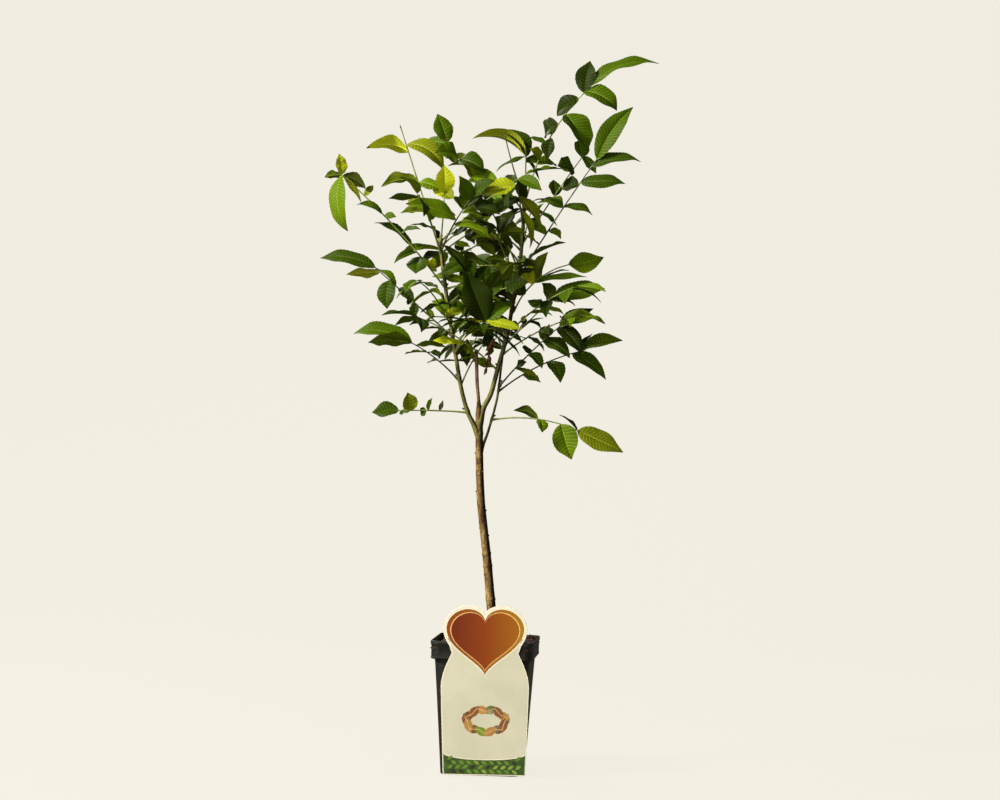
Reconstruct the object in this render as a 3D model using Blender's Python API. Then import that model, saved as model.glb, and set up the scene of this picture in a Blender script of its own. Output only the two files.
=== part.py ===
"""A young walnut tree in a square nursery pot, with a heart-topped card hung on the rim.

Sizes are in millimetres and angles in degrees; each mesh is scaled to metres as it is made.
+Z is up, the card hangs on the -Y side, and the origin is the centre of the pot's underside.
"""

import math
import random
from typing import NamedTuple

import bmesh
import bpy
from mathutils import Matrix, Vector
from mathutils.bvhtree import BVHTree

MM = 0.001
GAP = 0.3

# The pot: a tapering square body with a wider band at the rim, turned a little on its axis
POT_TURN = -5.0
POT_HEIGHT = 195.0
RIM_HALF = 75.0
RIM_BAND = 26.0
BODY_HALF_TOP = 69.0
BODY_HALF_FOOT = 58.5
POT_CORNER = 14.0
WALL = 1.2
CORNER_STEPS = 4

# The compost: level with the trunk's foot in the middle, low at the wall, lumpy between
SOIL_EDGE = 184.0
SOIL_TOP = 200.6
SOIL_LUMP = 3.0
SOIL_RINGS = 7
SOIL_PATCH = 17.0

# The card: a heart that stands above the rim, over a panel that hangs in front of the pot
CARD_SHIFT = 5.0
CARD_LEAN = -0.8
CARD_FOOT = 3.0
CARD_THICK = 0.8
HEART_TOP = 241.0
HEART_WIDTH = 108.0
HEART_HEIGHT = 91.4
HEART_BORDER = 7.0
HEART_END = 1.88
WAIST_HALF = 48.5
WAIST_HEIGHT = 179.0
SHOULDER_HALF = 64.0
SHOULDER_HEIGHT = 129.0
CARD_FOOT_HALF = 60.0
TAB_HALF = 14.0
TAB_THICK = 0.6
TAB_DEPTH = 8.0

# The trunk: from its flat cut on the compost to the dry tip of its pruned leader
TRUNK_FOOT = SOIL_TOP + GAP
TRUNK_LINE = ((11, 0, TRUNK_FOOT), (6, 1, 245), (-2, 2, 317), (-12, 2, 395),
              (-16, 1, 465), (-18, 0, 530), (-22, -2, 575), (-24, -3, 618))
TRUNK_THICK = 14.4
TRUNK_THIN = 10.8
FORK_HEIGHT = 522.0
FORK_LENGTH = 26.0
LEADER_THICK = 4.8
FLARE = 5.5
FLARE_REACH = 10.0
FLARE_RIDGES = 5
TRUNK_SIDES = 12
TRUNK_RINGS = 20


class Limb(NamedTuple):
    """A bough: its middle line from inside the trunk to its tip, and its two thicknesses."""
    line: tuple
    thick: float
    thin: float


LIMBS = {
    "bough_left": Limb(((-17, 0, 489), (-24, -2, 506), (-35, -4, 528), (-45, -7, 562),
                        (-54, -11, 610), (-65, -16, 671), (-76, -21, 741), (-81, -24, 781)), 7.0, 5.0),
    "bough_right": Limb(((-17, 0, 508), (-12, 0, 532), (-1, 1, 555), (9, 2, 595),
                         (19, 5, 634), (28, 9, 685), (38, 14, 755), (43, 19, 856)), 8.0, 5.0),
    "shoot_right": Limb(((-16, 1, 452), (-11, 5, 477), (-3, 9, 502), (8, 14, 547),
                         (13, 18, 592), (18, 20, 643)), 4.4, 3.0),
}
LIMB_SIDES = 8
LIMB_RINGS = 14


class Leaf(NamedTuple):
    """A compound leaf: a stalk with leaflets in pairs and, mostly, one leaflet on its end.

    heading is 0 to the right, 90 to the back and 270 to the front; rise is the stalk's slope at
    the limb and drop what it loses on its way; roll turns its face about the stalk; hang is how
    far the side leaflets droop and nod how far the end one does; left and right hold the side
    leaflets' lengths from the lowest pair up, as seen along the stalk, with 0 for a fallen one.
    A leaf whose leaflets show one by one has them in the list of those instead.
    """
    name: str
    limb: str
    height: float
    heading: float
    rise: float
    drop: float
    length: float
    roll: float = 0
    hang: float = 0
    left: tuple = ()
    right: tuple = ()
    end: float = 0
    nod: float = 0


LEAVES = (
    Leaf("foliage_left_6", "bough_left", 776, 290, 74, -12, 72),
    Leaf("foliage_left_1", "bough_left", 528, 184, 3, 6, 100),
    Leaf("foliage_left_2", "bough_left", 576, 194, 46, 20, 88),
    Leaf("foliage_left_3", "bough_left", 640, 168, 40, 0, 153),
    Leaf("foliage_left_4", "bough_left", 712, 184, 52, 12, 222),
    Leaf("foliage_left_5", "bough_left", 768, 176, 71, 0, 183),
    Leaf("foliage_left_7", "bough_left", 774, 320, 62, 20, 96),
    Leaf("foliage_right_1", "shoot_right", 517, 346, 10, 32, 132),
    Leaf("foliage_right_2", "shoot_right", 560, 16, 38, 24, 143),
    Leaf("foliage_right_3", "shoot_right", 568, 340, 49, 10, 128),
    Leaf("foliage_right_4", "bough_right", 632, 4, 47, 4, 92),
    Leaf("foliage_right_5", "bough_right", 678, 2, 68, 54, 112),
    Leaf("foliage_right_6", "bough_right", 731, 348, 59, 4, 206),
    Leaf("foliage_right_7", "bough_right", 788, 22, 57, 4, 163),
    Leaf("foliage_top_1", "bough_right", 850, 6, 77, 31, 183),
    Leaf("foliage_top_2", "bough_right", 846, 188, 68, -8, 92),
    Leaf("foliage_top_3", "bough_right", 853, 90, 74, -4, 60),
    Leaf("foliage_middle_6", "shoot_right", 618, 250, 46, 36, 92),
    Leaf("foliage_middle_4", "bough_right", 800, 262, 50, 26, 96),
    Leaf("foliage_middle_2", "bough_right", 742, 198, 66, 16, 214),
    Leaf("foliage_middle_8", "bough_left", 616, 300, 40, 40, 34),
    Leaf("foliage_middle_5", "bough_left", 664, 310, 40, 30, 104),
    Leaf("foliage_middle_1", "bough_right", 700, 232, 74, 52, 150, -25, 16, (32, 38, 40), (34, 40, 38), 50, 0),
    Leaf("foliage_middle_3", "bough_right", 638, 212, 26, 28, 124),
    Leaf("foliage_middle_7", "bough_left", 736, 342, 44, 22, 96, -40, 12, (28, 34, 32), (30, 36, 32), 44, 6),
)


class Seen(NamedTuple):
    """A leaflet that shows by itself, from its root on the stalk to its tip.

    at is its root's share of the stalk; aim is 0 to the right and 90 upwards as seen from the
    front; length is what shows of it and depth how far back its tip is; roll is 0 for a level
    blade and 90 for one that turns its face to the front; bend is how far it turns down.
    """
    at: float
    aim: float
    length: float
    depth: float
    width: float
    roll: float
    bend: float


SEEN = {
    "foliage_left_1": (
        (1, 186, 40, 6, 28, 50, 20), (0.8, 194, 19, 12, 17, 40, 20), (0.79, 103, 27, -6, 27, 78, 10),
        (0.57, 210, 11, 6, 16, 60, 40), (0.55, 73, 20, -4, 9, 60, 10), (0.38, 73, 17, 4, 9, 60, 10),
    ),
    "foliage_left_2": (
        (1, 171, 90, 4, 35, 42, 45), (0.97, 181, 64, -22, 32, -32, 30), (0.9, 357, 47, 16, 23, -30, 10),
        (0.68, 185, 34, 20, 16, 6, 20), (0.66, 338, 20, -16, 16, 20, 70), (0.45, 194, 17, 8, 12, 20, 20),
        (0.42, 1, 46, 20, 19, 6, 10),
    ),
    "foliage_left_3": (
        (1, 171, 85, 10, 30, 42, 50), (0.93, 183, 50, 24, 26, -32, -12), (0.72, 141, 41, 20, 21, 38, 56),
        (0.8, 267, 43, -12, 30, 72, 30), (0.68, 320, 32, -12, 19, 62, 34), (0.56, 278, 12, 12, 14, 50, 30),
        (0.46, 268, 24, -14, 17, 64, 40), (0.24, 124, 18, 22, 16, 30, 30), (0.2, 191, 38, -26, 19, 10, 20),
        (0.08, 179, 30, 24, 14, 6, 16),
    ),
    "foliage_left_4": (
        (1, 98, 32, 4, 20, 62, 10), (0.99, 187, 26, 14, 19, -30, 16), (0.98, 331, 41, -10, 23, -50, 50),
        (0.97, 307, 46, 8, 14, 50, 10), (0.985, 277, 85, -14, 35, 140, 70), (0.62, 161, 40, -8, 21, 40, 70),
        (0.6, 353, 18, -10, 12, 60, 60), (0.78, 58, 21, 10, 12, 60, 30), (0.33, 147, 68, 16, 23, 36, 36),
        (0.44, 12, 30, -24, 16, 40, 30), (0.27, 206, 38, -20, 14, 45, 88), (0.3, 33, 12, 14, 14, 50, 60),
        (0.24, 258, 27, -26, 35, 74, 30), (0.17, 352, 13, 20, 21, 60, 40),
    ),
    "foliage_left_5": (
        (0.8, 176, 63, 8, 42, -34, 78), (0.86, 327, 68, -12, 35, 44, 88), (0.55, 189, 55, 12, 28, -24, 60),
        (0.54, 341, 37, -16, 30, 44, 60), (0.4, 227, 28, -14, 30, 60, 90), (0.36, 341, 48, -20, 30, 40, 40),
    ),
    "foliage_left_6": (
        (1, 92, 42, -6, 30, 62, 20), (0.97, 333, 17, -16, 21, 60, 20), (0.9, 136, 25, 10, 16, 60, 30),
    ),
    "foliage_left_7": (
        (0.5, 164, 77, -22, 32, 50, 26), (1, 36, 40, -14, 26, 50, 40), (0.9, 115, 37, -20, 26, 60, 30),
        (0.72, 352, 55, -16, 32, 40, 50), (0.7, 118, 24, 12, 28, 40, 40), (0.42, 338, 62, -10, 35, 30, 40),
        (0.05, 308, 62, -24, 23, 44, 30),
    ),
    "foliage_right_1": (
        (1, 336, 75, -6, 39, 60, 26), (0.78, 288, 54, -12, 44, 78, 18), (0.98, 138, 35, 14, 15, 20, 12),
        (0.54, 280, 19, -14, 21, 68, 60), (0.52, 162, 39, 18, 23, -40, 70),
    ),
    "foliage_right_2": (
        (1, 15, 64, 8, 29, 34, 44), (0.88, 324, 64, -12, 35, 54, 38), (0.6, 301, 36, -22, 26, 54, 105),
        (0.96, 55, 34, 22, 12, 60, 30), (0.3, 338, 28, -16, 19, 34, 36),
    ),
    "foliage_right_3": (
        (1, 29, 57, 12, 28, 54, 30), (0.98, 16, 56, -16, 28, 44, 34), (0.96, 312, 51, -26, 32, 54, 80),
        (0.74, 327, 47, -20, 30, 60, 60), (0.73, 70, 24, 18, 23, 60, 40), (0.52, 308, 29, -18, 23, 60, 44),
        (0.5, 116, 15, 16, 16, 50, 20), (0.28, 29, 17, -14, 16, 40, 30), (0.26, 333, 43, 10, 14, 40, 30),
    ),
    "foliage_right_4": (
        (1, 13, 81, -8, 35, 46, 56), (0.97, 118, 30, 18, 30, -54, 50), (0.8, 345, 32, -12, 19, 36, 22),
        (0.79, 156, 25, 14, 23, 56, 30), (0.44, 336, 23, -12, 16, 30, 60), (0.42, 157, 10, 12, 14, 40, 60),
        (0.26, 28, 41, 18, 16, 20, 50),
    ),
    "foliage_right_5": (
        (1, 14, 53, 6, 37, 46, -46), (0.46, 7, 78, -16, 16, 40, 26), (0.5, 23, 52, 22, 16, 4, 16),
        (0.47, 70, 51, 14, 28, -50, 50), (0.44, 112, 48, -12, 16, 50, 20), (0.42, 136, 52, 16, 21, 40, 40),
        (0.3, 158, 35, -22, 30, 60, 50),
    ),
    "foliage_right_6": (
        (1, 57, 95, -4, 36, 72, 20), (0.93, 8, 73, -10, 30, 50, 44), (0.79, 1, 66, -14, 37, 46, 30),
        (0.77, 190, 26, 14, 32, 50, 30), (0.58, 344, 44, -12, 30, 38, 48), (0.57, 170, 40, 20, 26, 40, 50),
        (0.37, 329, 23, -16, 23, 46, 64), (0.34, 144, 35, 22, 23, 40, 50),
    ),
    "foliage_right_7": (
        (1, 308, 33, -8, 16, 60, 30), (0.97, 99, 29, 14, 28, 60, 24), (0.84, 176, 25, -16, 37, 62, 34),
        (0.52, 95, 25, 12, 23, 60, 34), (0.5, 332, 17, -10, 16, 50, 20), (0.47, 185, 29, -16, 16, 14, 30),
    ),
    "foliage_top_1": (
        (1, 22, 118, 4, 32, 36, 62), (0.96, 81, 51, 10, 35, 70, 16), (0.97, 330, 57, -18, 39, 50, 90),
        (0.9, 217, 42, 22, 32, 56, 60), (0.73, 300, 66, -16, 51, 60, 50), (0.63, 222, 27, 18, 39, 50, 60),
        (0.5, 265, 32, -10, 23, 60, 30), (0.44, 158, 32, 18, 16, 40, 30), (0.3, 135, 21, -18, 23, 50, 60),
        (0.26, 0, 29, 20, 26, 40, 50),
    ),
    "foliage_top_2": (
        (0.25, 187, 27, 34, 23, 40, 40),
    ),
    "foliage_top_3": (
        (1, 163, 84, 4, 39, -27, 98), (0.93, 136, 61, 46, 44, 24, 84), (0.95, 207, 51, -16, 16, 30, 30),
        (0.93, 300, 41, -14, 9, 30, 20), (0.8, 2, 30, 20, 23, 40, 60),
    ),
    "foliage_middle_2": (
        (1, 111, 45, 6, 32, 62, 12), (0.97, 175, 39, 10, 30, 50, 40), (0.88, 177, 31, -20, 35, 62, 40),
        (0.84, 334, 40, -14, 37, 52, 70), (0.7, 350, 41, -20, 28, 42, 36), (0.66, 117, 37, 12, 28, 50, 40),
        (0.56, 197, 37, -18, 37, 62, 50), (0.54, 336, 52, 14, 35, 50, 60), (0.4, 213, 66, -20, 30, 30, 60),
        (0.38, 315, 60, 16, 30, 40, 50),
    ),
    "foliage_middle_4": (
        (1, 194, 59, -14, 36, 60, 16), (0.97, 250, 37, -24, 30, 40, 60), (0.7, 306, 58, -14, 26, 44, 40),
        (0.66, 213, 55, -18, 35, 50, 50), (0.4, 238, 51, -20, 32, 40, 50), (0.36, 287, 58, 12, 23, 40, 40),
    ),
    "foliage_middle_5": (
        (1, 15, 36, -12, 32, 68, 30), (0.92, 153, 14, 12, 32, 66, 30), (0.07, 149, 40, 12, 30, 68, 14),
        (0.1, 89, 22, -12, 26, 74, 14), (0.5, 143, 37, 14, 28, 50, 30),
    ),
    "foliage_middle_8": (
        (0.8, 177, 47, -14, 19, 30, 24), (0.9, 334, 9, 10, 19, 30, 40), (1, 295, 31, -20, 16, 40, 30),
    ),
    "foliage_middle_6": (
        (1, 113, 76, -8, 49, 84, 8), (0.97, 348, 55, -14, 21, 40, 20), (0.95, 35, 49, 12, 30, 60, 40),
        (0.6, 202, 49, -22, 16, 20, 40), (0.5, 318, 52, -12, 14, 24, 30),
    ),
    "foliage_middle_3": (
        (1, 205, 17, -10, 12, 24, 20), (0.86, 21, 29, 14, 19, 40, 30), (0.62, 355, 37, -18, 14, 16, 20),
        (0.6, 201, 37, -26, 12, 8, 16), (0.34, 323, 29, 16, 14, 20, 30), (0.32, 193, 33, 20, 14, 6, 16),
    ),
}

# The leaves that the front hides, spread round the back and the near side by one rule
ROUND_LIMBS = ("bough_left", "bough_right", "shoot_right", "bough_right", "bough_left")
ROUND_COUNT = 12
ROUND_LOW = 556.0
ROUND_HIGH = 838.0
ROUND_FIRST = 62.0
ROUND_TURN = 137.5

STALK_THICK = 3.4
STALK_THIN = 1.8
STALK_SIDES = 5
STALK_STEPS = 5
STALK_TRIES = ((0, 0), (9, 0), (-9, 0), (0, 8), (18, 0), (-18, 0), (18, 8), (-18, 8), (30, 16), (-30, 16),
               (45, 20), (-45, 20))
FIRST_PAIR = 0.36
LAST_PAIR = 0.93
BARE_LAST_PAIR = 0.82
SPLAY = 58.0
HANG = 18.0
SEEN_TRIES = ((0, 0), (15, 0), (-15, 0), (0, 14), (0, -14), (30, 14), (-30, -14), (0, 28), (0, -28))
LEAFLET_TRIES = ((0, 0), (12, 0), (-12, 0), (0, 14), (0, -14), (24, 10), (-24, -10), (36, 0), (-36, 0))
BLADE_WIDTH = 6.5
BLADE_WIDENING = 0.34
BLADE_STATIONS = (0.24, 0.52, 0.8)
SMALL_STATIONS = (0.3, 0.72)
SMALL_BLADE = 46.0
BLADE_THICK = 1.3
BLADE_FOLD = 17.0
BLADE_BEND = 34.0
BLADE_ROOT = 1.1
END_SINK = 2.5


def smooth_line(stations, count):
    """Evenly numbered points on one smooth curve that passes through the stations."""
    knots = [Vector(s) for s in stations]
    knots = [2 * knots[0] - knots[1]] + knots + [2 * knots[-1] - knots[-2]]
    spans = len(knots) - 3
    line = []
    for i in range(count + 1):
        place = spans * i / count
        span = min(int(place), spans - 1)
        t = place - span
        a, b, c, d = knots[span:span + 4]
        line.append(0.5 * (2 * b + (c - a) * t + (2 * a - 5 * b + 4 * c - d) * t ** 2
                           + (3 * b - a - 3 * c + d) * t ** 3))
    return line


def skin(rings):
    """A closed shape over equal rings of points, with flat ends."""
    sides = len(rings[0])
    points = [p for ring in rings for p in ring]
    faces = []
    for r in range(len(rings) - 1):
        for s in range(sides):
            a = r * sides + s
            b = r * sides + (s + 1) % sides
            faces.append((a, b, b + sides, a + sides))
    faces.append(tuple(reversed(range(sides))))
    faces.append(tuple(range(len(points) - sides, len(points))))
    return points, faces


def tube(line, radii, sides):
    """A closed tapering tube about a line, whose rings don't twist."""
    rings = []
    across = Vector((0, 1, 0))
    for i, middle in enumerate(line):
        along = (line[min(i + 1, len(line) - 1)] - line[max(i - 1, 0)]).normalized()
        across = (across - across.dot(along) * along).normalized()
        other = along.cross(across)
        turns = [2 * math.pi * s / sides for s in range(sides)]
        rings.append([middle + radii[i] * (math.cos(t) * across + math.sin(t) * other) for t in turns])
    return rings


def rounded_square(half, corner, height, middle=(0.0, 0.0)):
    """A level ring of points: a square of the given half width with round corners."""
    ring = []
    for quarter in range(4):
        for step in range(CORNER_STEPS + 1):
            turn = math.radians(90 * quarter + 90 * step / CORNER_STEPS)
            corner_turn = math.radians(90 * quarter + 45)
            reach = (half - corner) * math.sqrt(2)
            x = middle[0] + reach * math.cos(corner_turn) + corner * math.cos(turn)
            y = middle[1] + reach * math.sin(corner_turn) + corner * math.sin(turn)
            ring.append(Vector((x, y, height)))
    return ring


def finish(name, red, green, blue, roughness):
    """A plain material."""
    material = bpy.data.materials.new(name)
    material.use_nodes = True
    shader = material.node_tree.nodes["Principled BSDF"]
    shader.inputs["Base Color"].default_value = (red, green, blue, 1.0)
    shader.inputs["Roughness"].default_value = roughness
    return material


def solid(name, points, faces, material, parent=None, smooth=40):
    """A named object from points in millimetres, with its faces turned outwards."""
    mesh = bpy.data.meshes.new(name)
    mesh.from_pydata([Vector(p) * MM for p in points], [], faces)
    shape = bmesh.new()
    shape.from_mesh(mesh)
    bmesh.ops.recalc_face_normals(shape, faces=shape.faces)
    shape.to_mesh(mesh)
    shape.free()
    mesh.materials.append(material)
    mesh.shade_smooth()
    mesh.set_sharp_from_angle(angle=math.radians(smooth))
    made = bpy.data.objects.new(name, mesh)
    made.parent = parent
    bpy.context.scene.collection.objects.link(made)
    return made


def apply_modifiers(made):
    """Keep the shape that an object's modifiers give it, and drop the modifiers."""
    graph = bpy.context.evaluated_depsgraph_get()
    mesh = bpy.data.meshes.new_from_object(made.evaluated_get(graph))
    made.modifiers.clear()
    made.data = mesh


def join_to(made, others):
    """Fuse a list of objects into one by a single Boolean union on their collection."""
    group = bpy.data.collections.new(made.name + "_pieces")
    for piece in others:
        bpy.context.scene.collection.objects.unlink(piece)
        group.objects.link(piece)
    union = made.modifiers.new("union", "BOOLEAN")
    union.operation = "UNION"
    union.operand_type = "COLLECTION"
    union.collection = group
    union.solver = "EXACT"
    apply_modifiers(made)
    for piece in others:
        bpy.data.objects.remove(piece)
    bpy.data.collections.remove(group)


def cut_from(made, cutter):
    """Cut one shape out of an object, and keep the result."""
    cut = made.modifiers.new("cut", "BOOLEAN")
    cut.operation = "DIFFERENCE"
    cut.object = cutter
    cut.solver = "EXACT"
    apply_modifiers(made)


def pot_inside():
    """The wall's inner face from the rim down, as half width, corner radius and height."""
    ledge = POT_HEIGHT - RIM_BAND
    return (
        (RIM_HALF - WALL, POT_CORNER - WALL, POT_HEIGHT),
        (RIM_HALF - WALL - 0.6, POT_CORNER - WALL, ledge + 2 * WALL),
        (BODY_HALF_TOP - WALL, POT_CORNER - WALL, ledge + 0.2),
        (BODY_HALF_FOOT - WALL, POT_CORNER - WALL, WALL),
    )


def make_pot(frame, plastic):
    """The pot, in one closed skin from its underside, over the rim and down to its floor."""
    ledge = POT_HEIGHT - RIM_BAND
    outside = (
        (BODY_HALF_FOOT - 1.5, POT_CORNER - 1.5, 0.0),
        (BODY_HALF_FOOT, POT_CORNER, 1.5),
        (BODY_HALF_TOP, POT_CORNER, ledge - 1.2),
        (RIM_HALF - 1.0, POT_CORNER, ledge),
        (RIM_HALF - 0.6, POT_CORNER, ledge + 1.0),
        (RIM_HALF, POT_CORNER, POT_HEIGHT - 1.0),
        (RIM_HALF - 0.3, POT_CORNER - 0.3, POT_HEIGHT),
    )
    rings = [rounded_square(*station) for station in outside + pot_inside()]
    points, faces = skin(rings)
    return solid("pot", points, faces, plastic, frame)


def soil_height(x, y):
    """The lumpy surface of the compost between the wall and the trunk's foot."""
    rnd = random.Random("compost")
    height = 0.0
    for wave in range(6):
        heading = rnd.uniform(0, math.pi)
        pitch = 2 * math.pi / rnd.uniform(26, 60)
        phase = rnd.uniform(0, 2 * math.pi)
        height += math.sin(pitch * (x * math.cos(heading) + y * math.sin(heading)) + phase)
    return height / math.sqrt(6) * SOIL_LUMP


def make_soil(frame, compost):
    """The compost: it fills the pot, and its top rises to a flat patch under the trunk."""
    foot = Matrix.Rotation(-math.radians(POT_TURN), 2) @ Vector(TRUNK_LINE[0][:2])
    walls = [(half - GAP, corner - GAP, height + GAP) for half, corner, height in reversed(pot_inside())]
    rings = [rounded_square(*station) for station in walls[:-1]]
    top_half = walls[-1][0]
    for ring in range(SOIL_RINGS + 1):
        share = ring / SOIL_RINGS
        half = top_half + (SOIL_PATCH - top_half) * share
        corner = walls[-1][1] + (SOIL_PATCH - walls[-1][1]) * share
        line = rounded_square(half - 0.3 * (1 - share), corner, 0.0, foot * share)
        rise = SOIL_EDGE + (SOIL_TOP - SOIL_EDGE) * math.sin(share * math.pi / 2) ** 0.6
        for p in line:
            p.z = rise + soil_height(p.x, p.y) * math.sin(share * math.pi) ** 0.5
        rings.append(line)
    points, faces = skin(rings)
    return solid("soil", points, faces, compost, frame)


def heart_point(turn):
    """A point on the heart's edge, from the notch at 0 to the tip at pi."""
    x = 16 * math.sin(turn) ** 3
    z = 14 * math.cos(turn) - 4.2 * math.cos(2 * turn) - 2 * math.cos(3 * turn) - 0.8 * math.cos(4 * turn)
    return Vector((x * HEART_WIDTH / 32, HEART_TOP + (z - 12.2) * HEART_HEIGHT / 29.2))


def border_point(turn):
    """The point a border's width outside the heart's edge."""
    along = heart_point(turn + 0.01) - heart_point(turn - 0.01)
    return heart_point(turn) + Vector((-along.y, along.x)).normalized() * HEART_BORDER


def card_edge():
    """The card's outline: the border round the heart's lobes, a waist and a straight panel."""
    lobe = [border_point(HEART_END * step / 14) for step in range(1, 15)]
    half = [p for p in lobe if p.x > 0.5]
    half.insert(0, Vector((0.0, half[0].y - half[0].x)))
    for step in range(6):
        share = step / 5
        half.append(Vector((WAIST_HALF + (SHOULDER_HALF - WAIST_HALF) * math.sin(share * math.pi / 2),
                            WAIST_HEIGHT + (SHOULDER_HEIGHT - WAIST_HEIGHT) * share)))
    half.append(Vector((CARD_FOOT_HALF, CARD_FOOT)))
    mirrored = [Vector((-p.x, p.y)) for p in reversed(half[1:])]
    lean = Matrix.Rotation(math.radians(-CARD_LEAN), 2)
    middle = Vector((0, HEART_TOP))
    return [lean @ (p - middle) + middle + Vector((CARD_SHIFT, 0)) for p in half + mirrored]


def make_card(frame, board):
    """The card, with the tab folded out of it that hooks over the rim and down inside."""
    back = -(RIM_HALF + GAP)
    edge = card_edge()
    points, faces = skin([[Vector((x, y, z)) for x, z in edge] for y in (back, back - CARD_THICK)])
    card = solid("card_label", points, faces, board, frame)
    top = POT_HEIGHT + GAP
    inside = -(RIM_HALF - WALL - GAP)
    hook = ((back - CARD_THICK / 2, top), (inside, top), (inside, top - TAB_DEPTH),
            (inside + TAB_THICK, top - TAB_DEPTH), (inside + TAB_THICK, top + TAB_THICK),
            (back - CARD_THICK / 2, top + TAB_THICK))
    points, faces = skin([[Vector((x, y, z)) for y, z in hook] for x in (-TAB_HALF, TAB_HALF)])
    join_to(card, [solid("tab", points, faces, board, frame)])
    return card


def trunk_radius(height):
    """The trunk's radius: an even taper, a flare at the foot and a quick step at the fork."""
    share = (height - TRUNK_FOOT) / (FORK_HEIGHT - TRUNK_FOOT)
    stem = TRUNK_THICK + (TRUNK_THIN - TRUNK_THICK) * min(max(share, 0.0), 1.0) ** 0.7
    step = min(max((height - FORK_HEIGHT) / FORK_LENGTH, 0.0), 1.0)
    return (stem + (LEADER_THICK - stem) * step * step * (3 - 2 * step)) / 2


def trunk_rings(grow=0.0):
    """The trunk's rings of points, with the first one flat on the compost."""
    line = smooth_line(TRUNK_LINE, TRUNK_RINGS)
    rings = tube(line, [trunk_radius(p.z) + grow for p in line], TRUNK_SIDES)
    for middle, ring in zip(line, rings):
        rise = middle.z - TRUNK_FOOT
        for s, p in enumerate(ring):
            ridge = 1 + 0.5 * math.cos(2 * math.pi * FLARE_RIDGES * s / TRUNK_SIDES)
            out = Vector((p.x - middle.x, p.y - middle.y, 0)).normalized()
            p += out * FLARE * ridge * math.exp(-rise / FLARE_REACH)
    for p in rings[0]:
        p.z = TRUNK_FOOT
    return rings


def limb_rings(limb):
    """A bough's rings of points, thick at its foot and thin at its tip."""
    line = smooth_line(limb.line, LIMB_RINGS)
    radii = [(limb.thick + (limb.thin - limb.thick) * i / LIMB_RINGS) / 2 for i in range(LIMB_RINGS + 1)]
    return tube(line, radii, LIMB_SIDES)


def limb_at(limb, height):
    """A bough at a height: the point of its middle line, its direction and its radius."""
    line = smooth_line(limb.line, LIMB_RINGS)
    for i in range(LIMB_RINGS):
        if line[i + 1].z >= height or i == LIMB_RINGS - 1:
            break
    share = min((height - line[i].z) / (line[i + 1].z - line[i].z), 1.0)
    radius = (limb.thick + (limb.thin - limb.thick) * (i + share) / LIMB_RINGS) / 2
    return line[i].lerp(line[i + 1], share), (line[i + 1] - line[i]).normalized(), radius


def direction(heading, rise):
    """The unit vector of a heading and a slope."""
    h = math.radians(heading)
    r = math.radians(rise)
    return Vector((math.cos(h) * math.cos(r), math.sin(h) * math.cos(r), math.sin(r)))


def turned(vector, axis, angle):
    """A vector turned about an axis."""
    return Matrix.Rotation(math.radians(angle), 3, axis) @ vector


class Stalk:
    """A compound leaf's stalk: its middle line, and its own directions along it."""

    def __init__(self, leaf, turn, slide):
        self.leaf = leaf
        self.heading = leaf.heading + turn
        middle, upwards, radius = limb_at(LIMBS[leaf.limb], leaf.height - slide)
        level = direction(self.heading, 0)
        self.out = (level - level.dot(upwards) * upwards).normalized()
        self.face = middle + self.out * (radius + GAP)
        self.line = [self.face]
        for step in range(STALK_STEPS):
            along = self.along((step + 0.5) / STALK_STEPS)
            self.line.append(self.line[-1] + along * leaf.length / STALK_STEPS)

    def along(self, share):
        return direction(self.heading, self.leaf.rise - self.leaf.drop * share)

    def at(self, share):
        place = min(max(share, 0.0), 1.0) * STALK_STEPS
        step = min(int(place), STALK_STEPS - 1)
        return self.line[step].lerp(self.line[step + 1], place - step)

    def side(self, share):
        level = direction(self.heading + 90, 0)
        return turned(level, self.along(share), self.leaf.roll)

    def rings(self, grow=0.0):
        """Its rings, the first one slid onto the limb's face, so that the foot fits it."""
        radii = [(STALK_THICK + (STALK_THIN - STALK_THICK) * i / STALK_STEPS) / 2 + grow
                 for i in range(STALK_STEPS + 1)]
        radii[0] *= 1.2
        rings = tube(self.line, radii, STALK_SIDES)
        along = self.along(0)
        for p in rings[0]:
            p += along * (self.face - p).dot(self.out) / along.dot(self.out)
        return rings


class Leaflet(NamedTuple):
    """One leaflet: its root, its direction, the side it spreads to, and its size and bend."""
    root: Vector
    along: Vector
    side: Vector
    length: float
    width: float
    bend: float


def blade_width(share):
    """A leaflet's half width at a share of its length, as a share of its widest."""
    return math.sin(math.pi * share ** 0.88) ** 0.72


def blade(leaflet, grow=0.0):
    """A leaflet as a closed blade: folded along its midrib, bent down towards its tip."""
    up = leaflet.along.cross(leaflet.side)
    sides = leaflet.side * (BLADE_ROOT + grow)
    depth = up * (BLADE_THICK / 2 + grow)
    root = leaflet.root - leaflet.along * 0.4
    rings = [[root + sides, root + depth, root - sides, root - depth]]
    middle = root
    before = 0.0
    stations = SMALL_STATIONS if leaflet.length < SMALL_BLADE else BLADE_STATIONS
    for share in stations + (1.0,):
        bend = leaflet.bend * (before + share) / 2
        middle = middle + turned(leaflet.along, leaflet.side, bend) * leaflet.length * (share - before)
        before = share
        if share == 1.0:
            break
        half = leaflet.width / 2 * blade_width(share) + grow
        normal = turned(up, leaflet.side, leaflet.bend * share)
        lift = normal * half * math.sin(math.radians(BLADE_FOLD))
        reach = leaflet.side * half * math.cos(math.radians(BLADE_FOLD))
        depth = normal * (BLADE_THICK / 2 + grow)
        rings.append([middle + reach + lift, middle + depth, middle - reach + lift, middle - depth])
    points, faces = skin(rings)
    faces.pop()
    tip = len(points)
    points.append(middle)
    faces += [(tip - 4 + s, tip - 4 + (s + 1) % 4, tip) for s in range(4)]
    return points, faces


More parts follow.
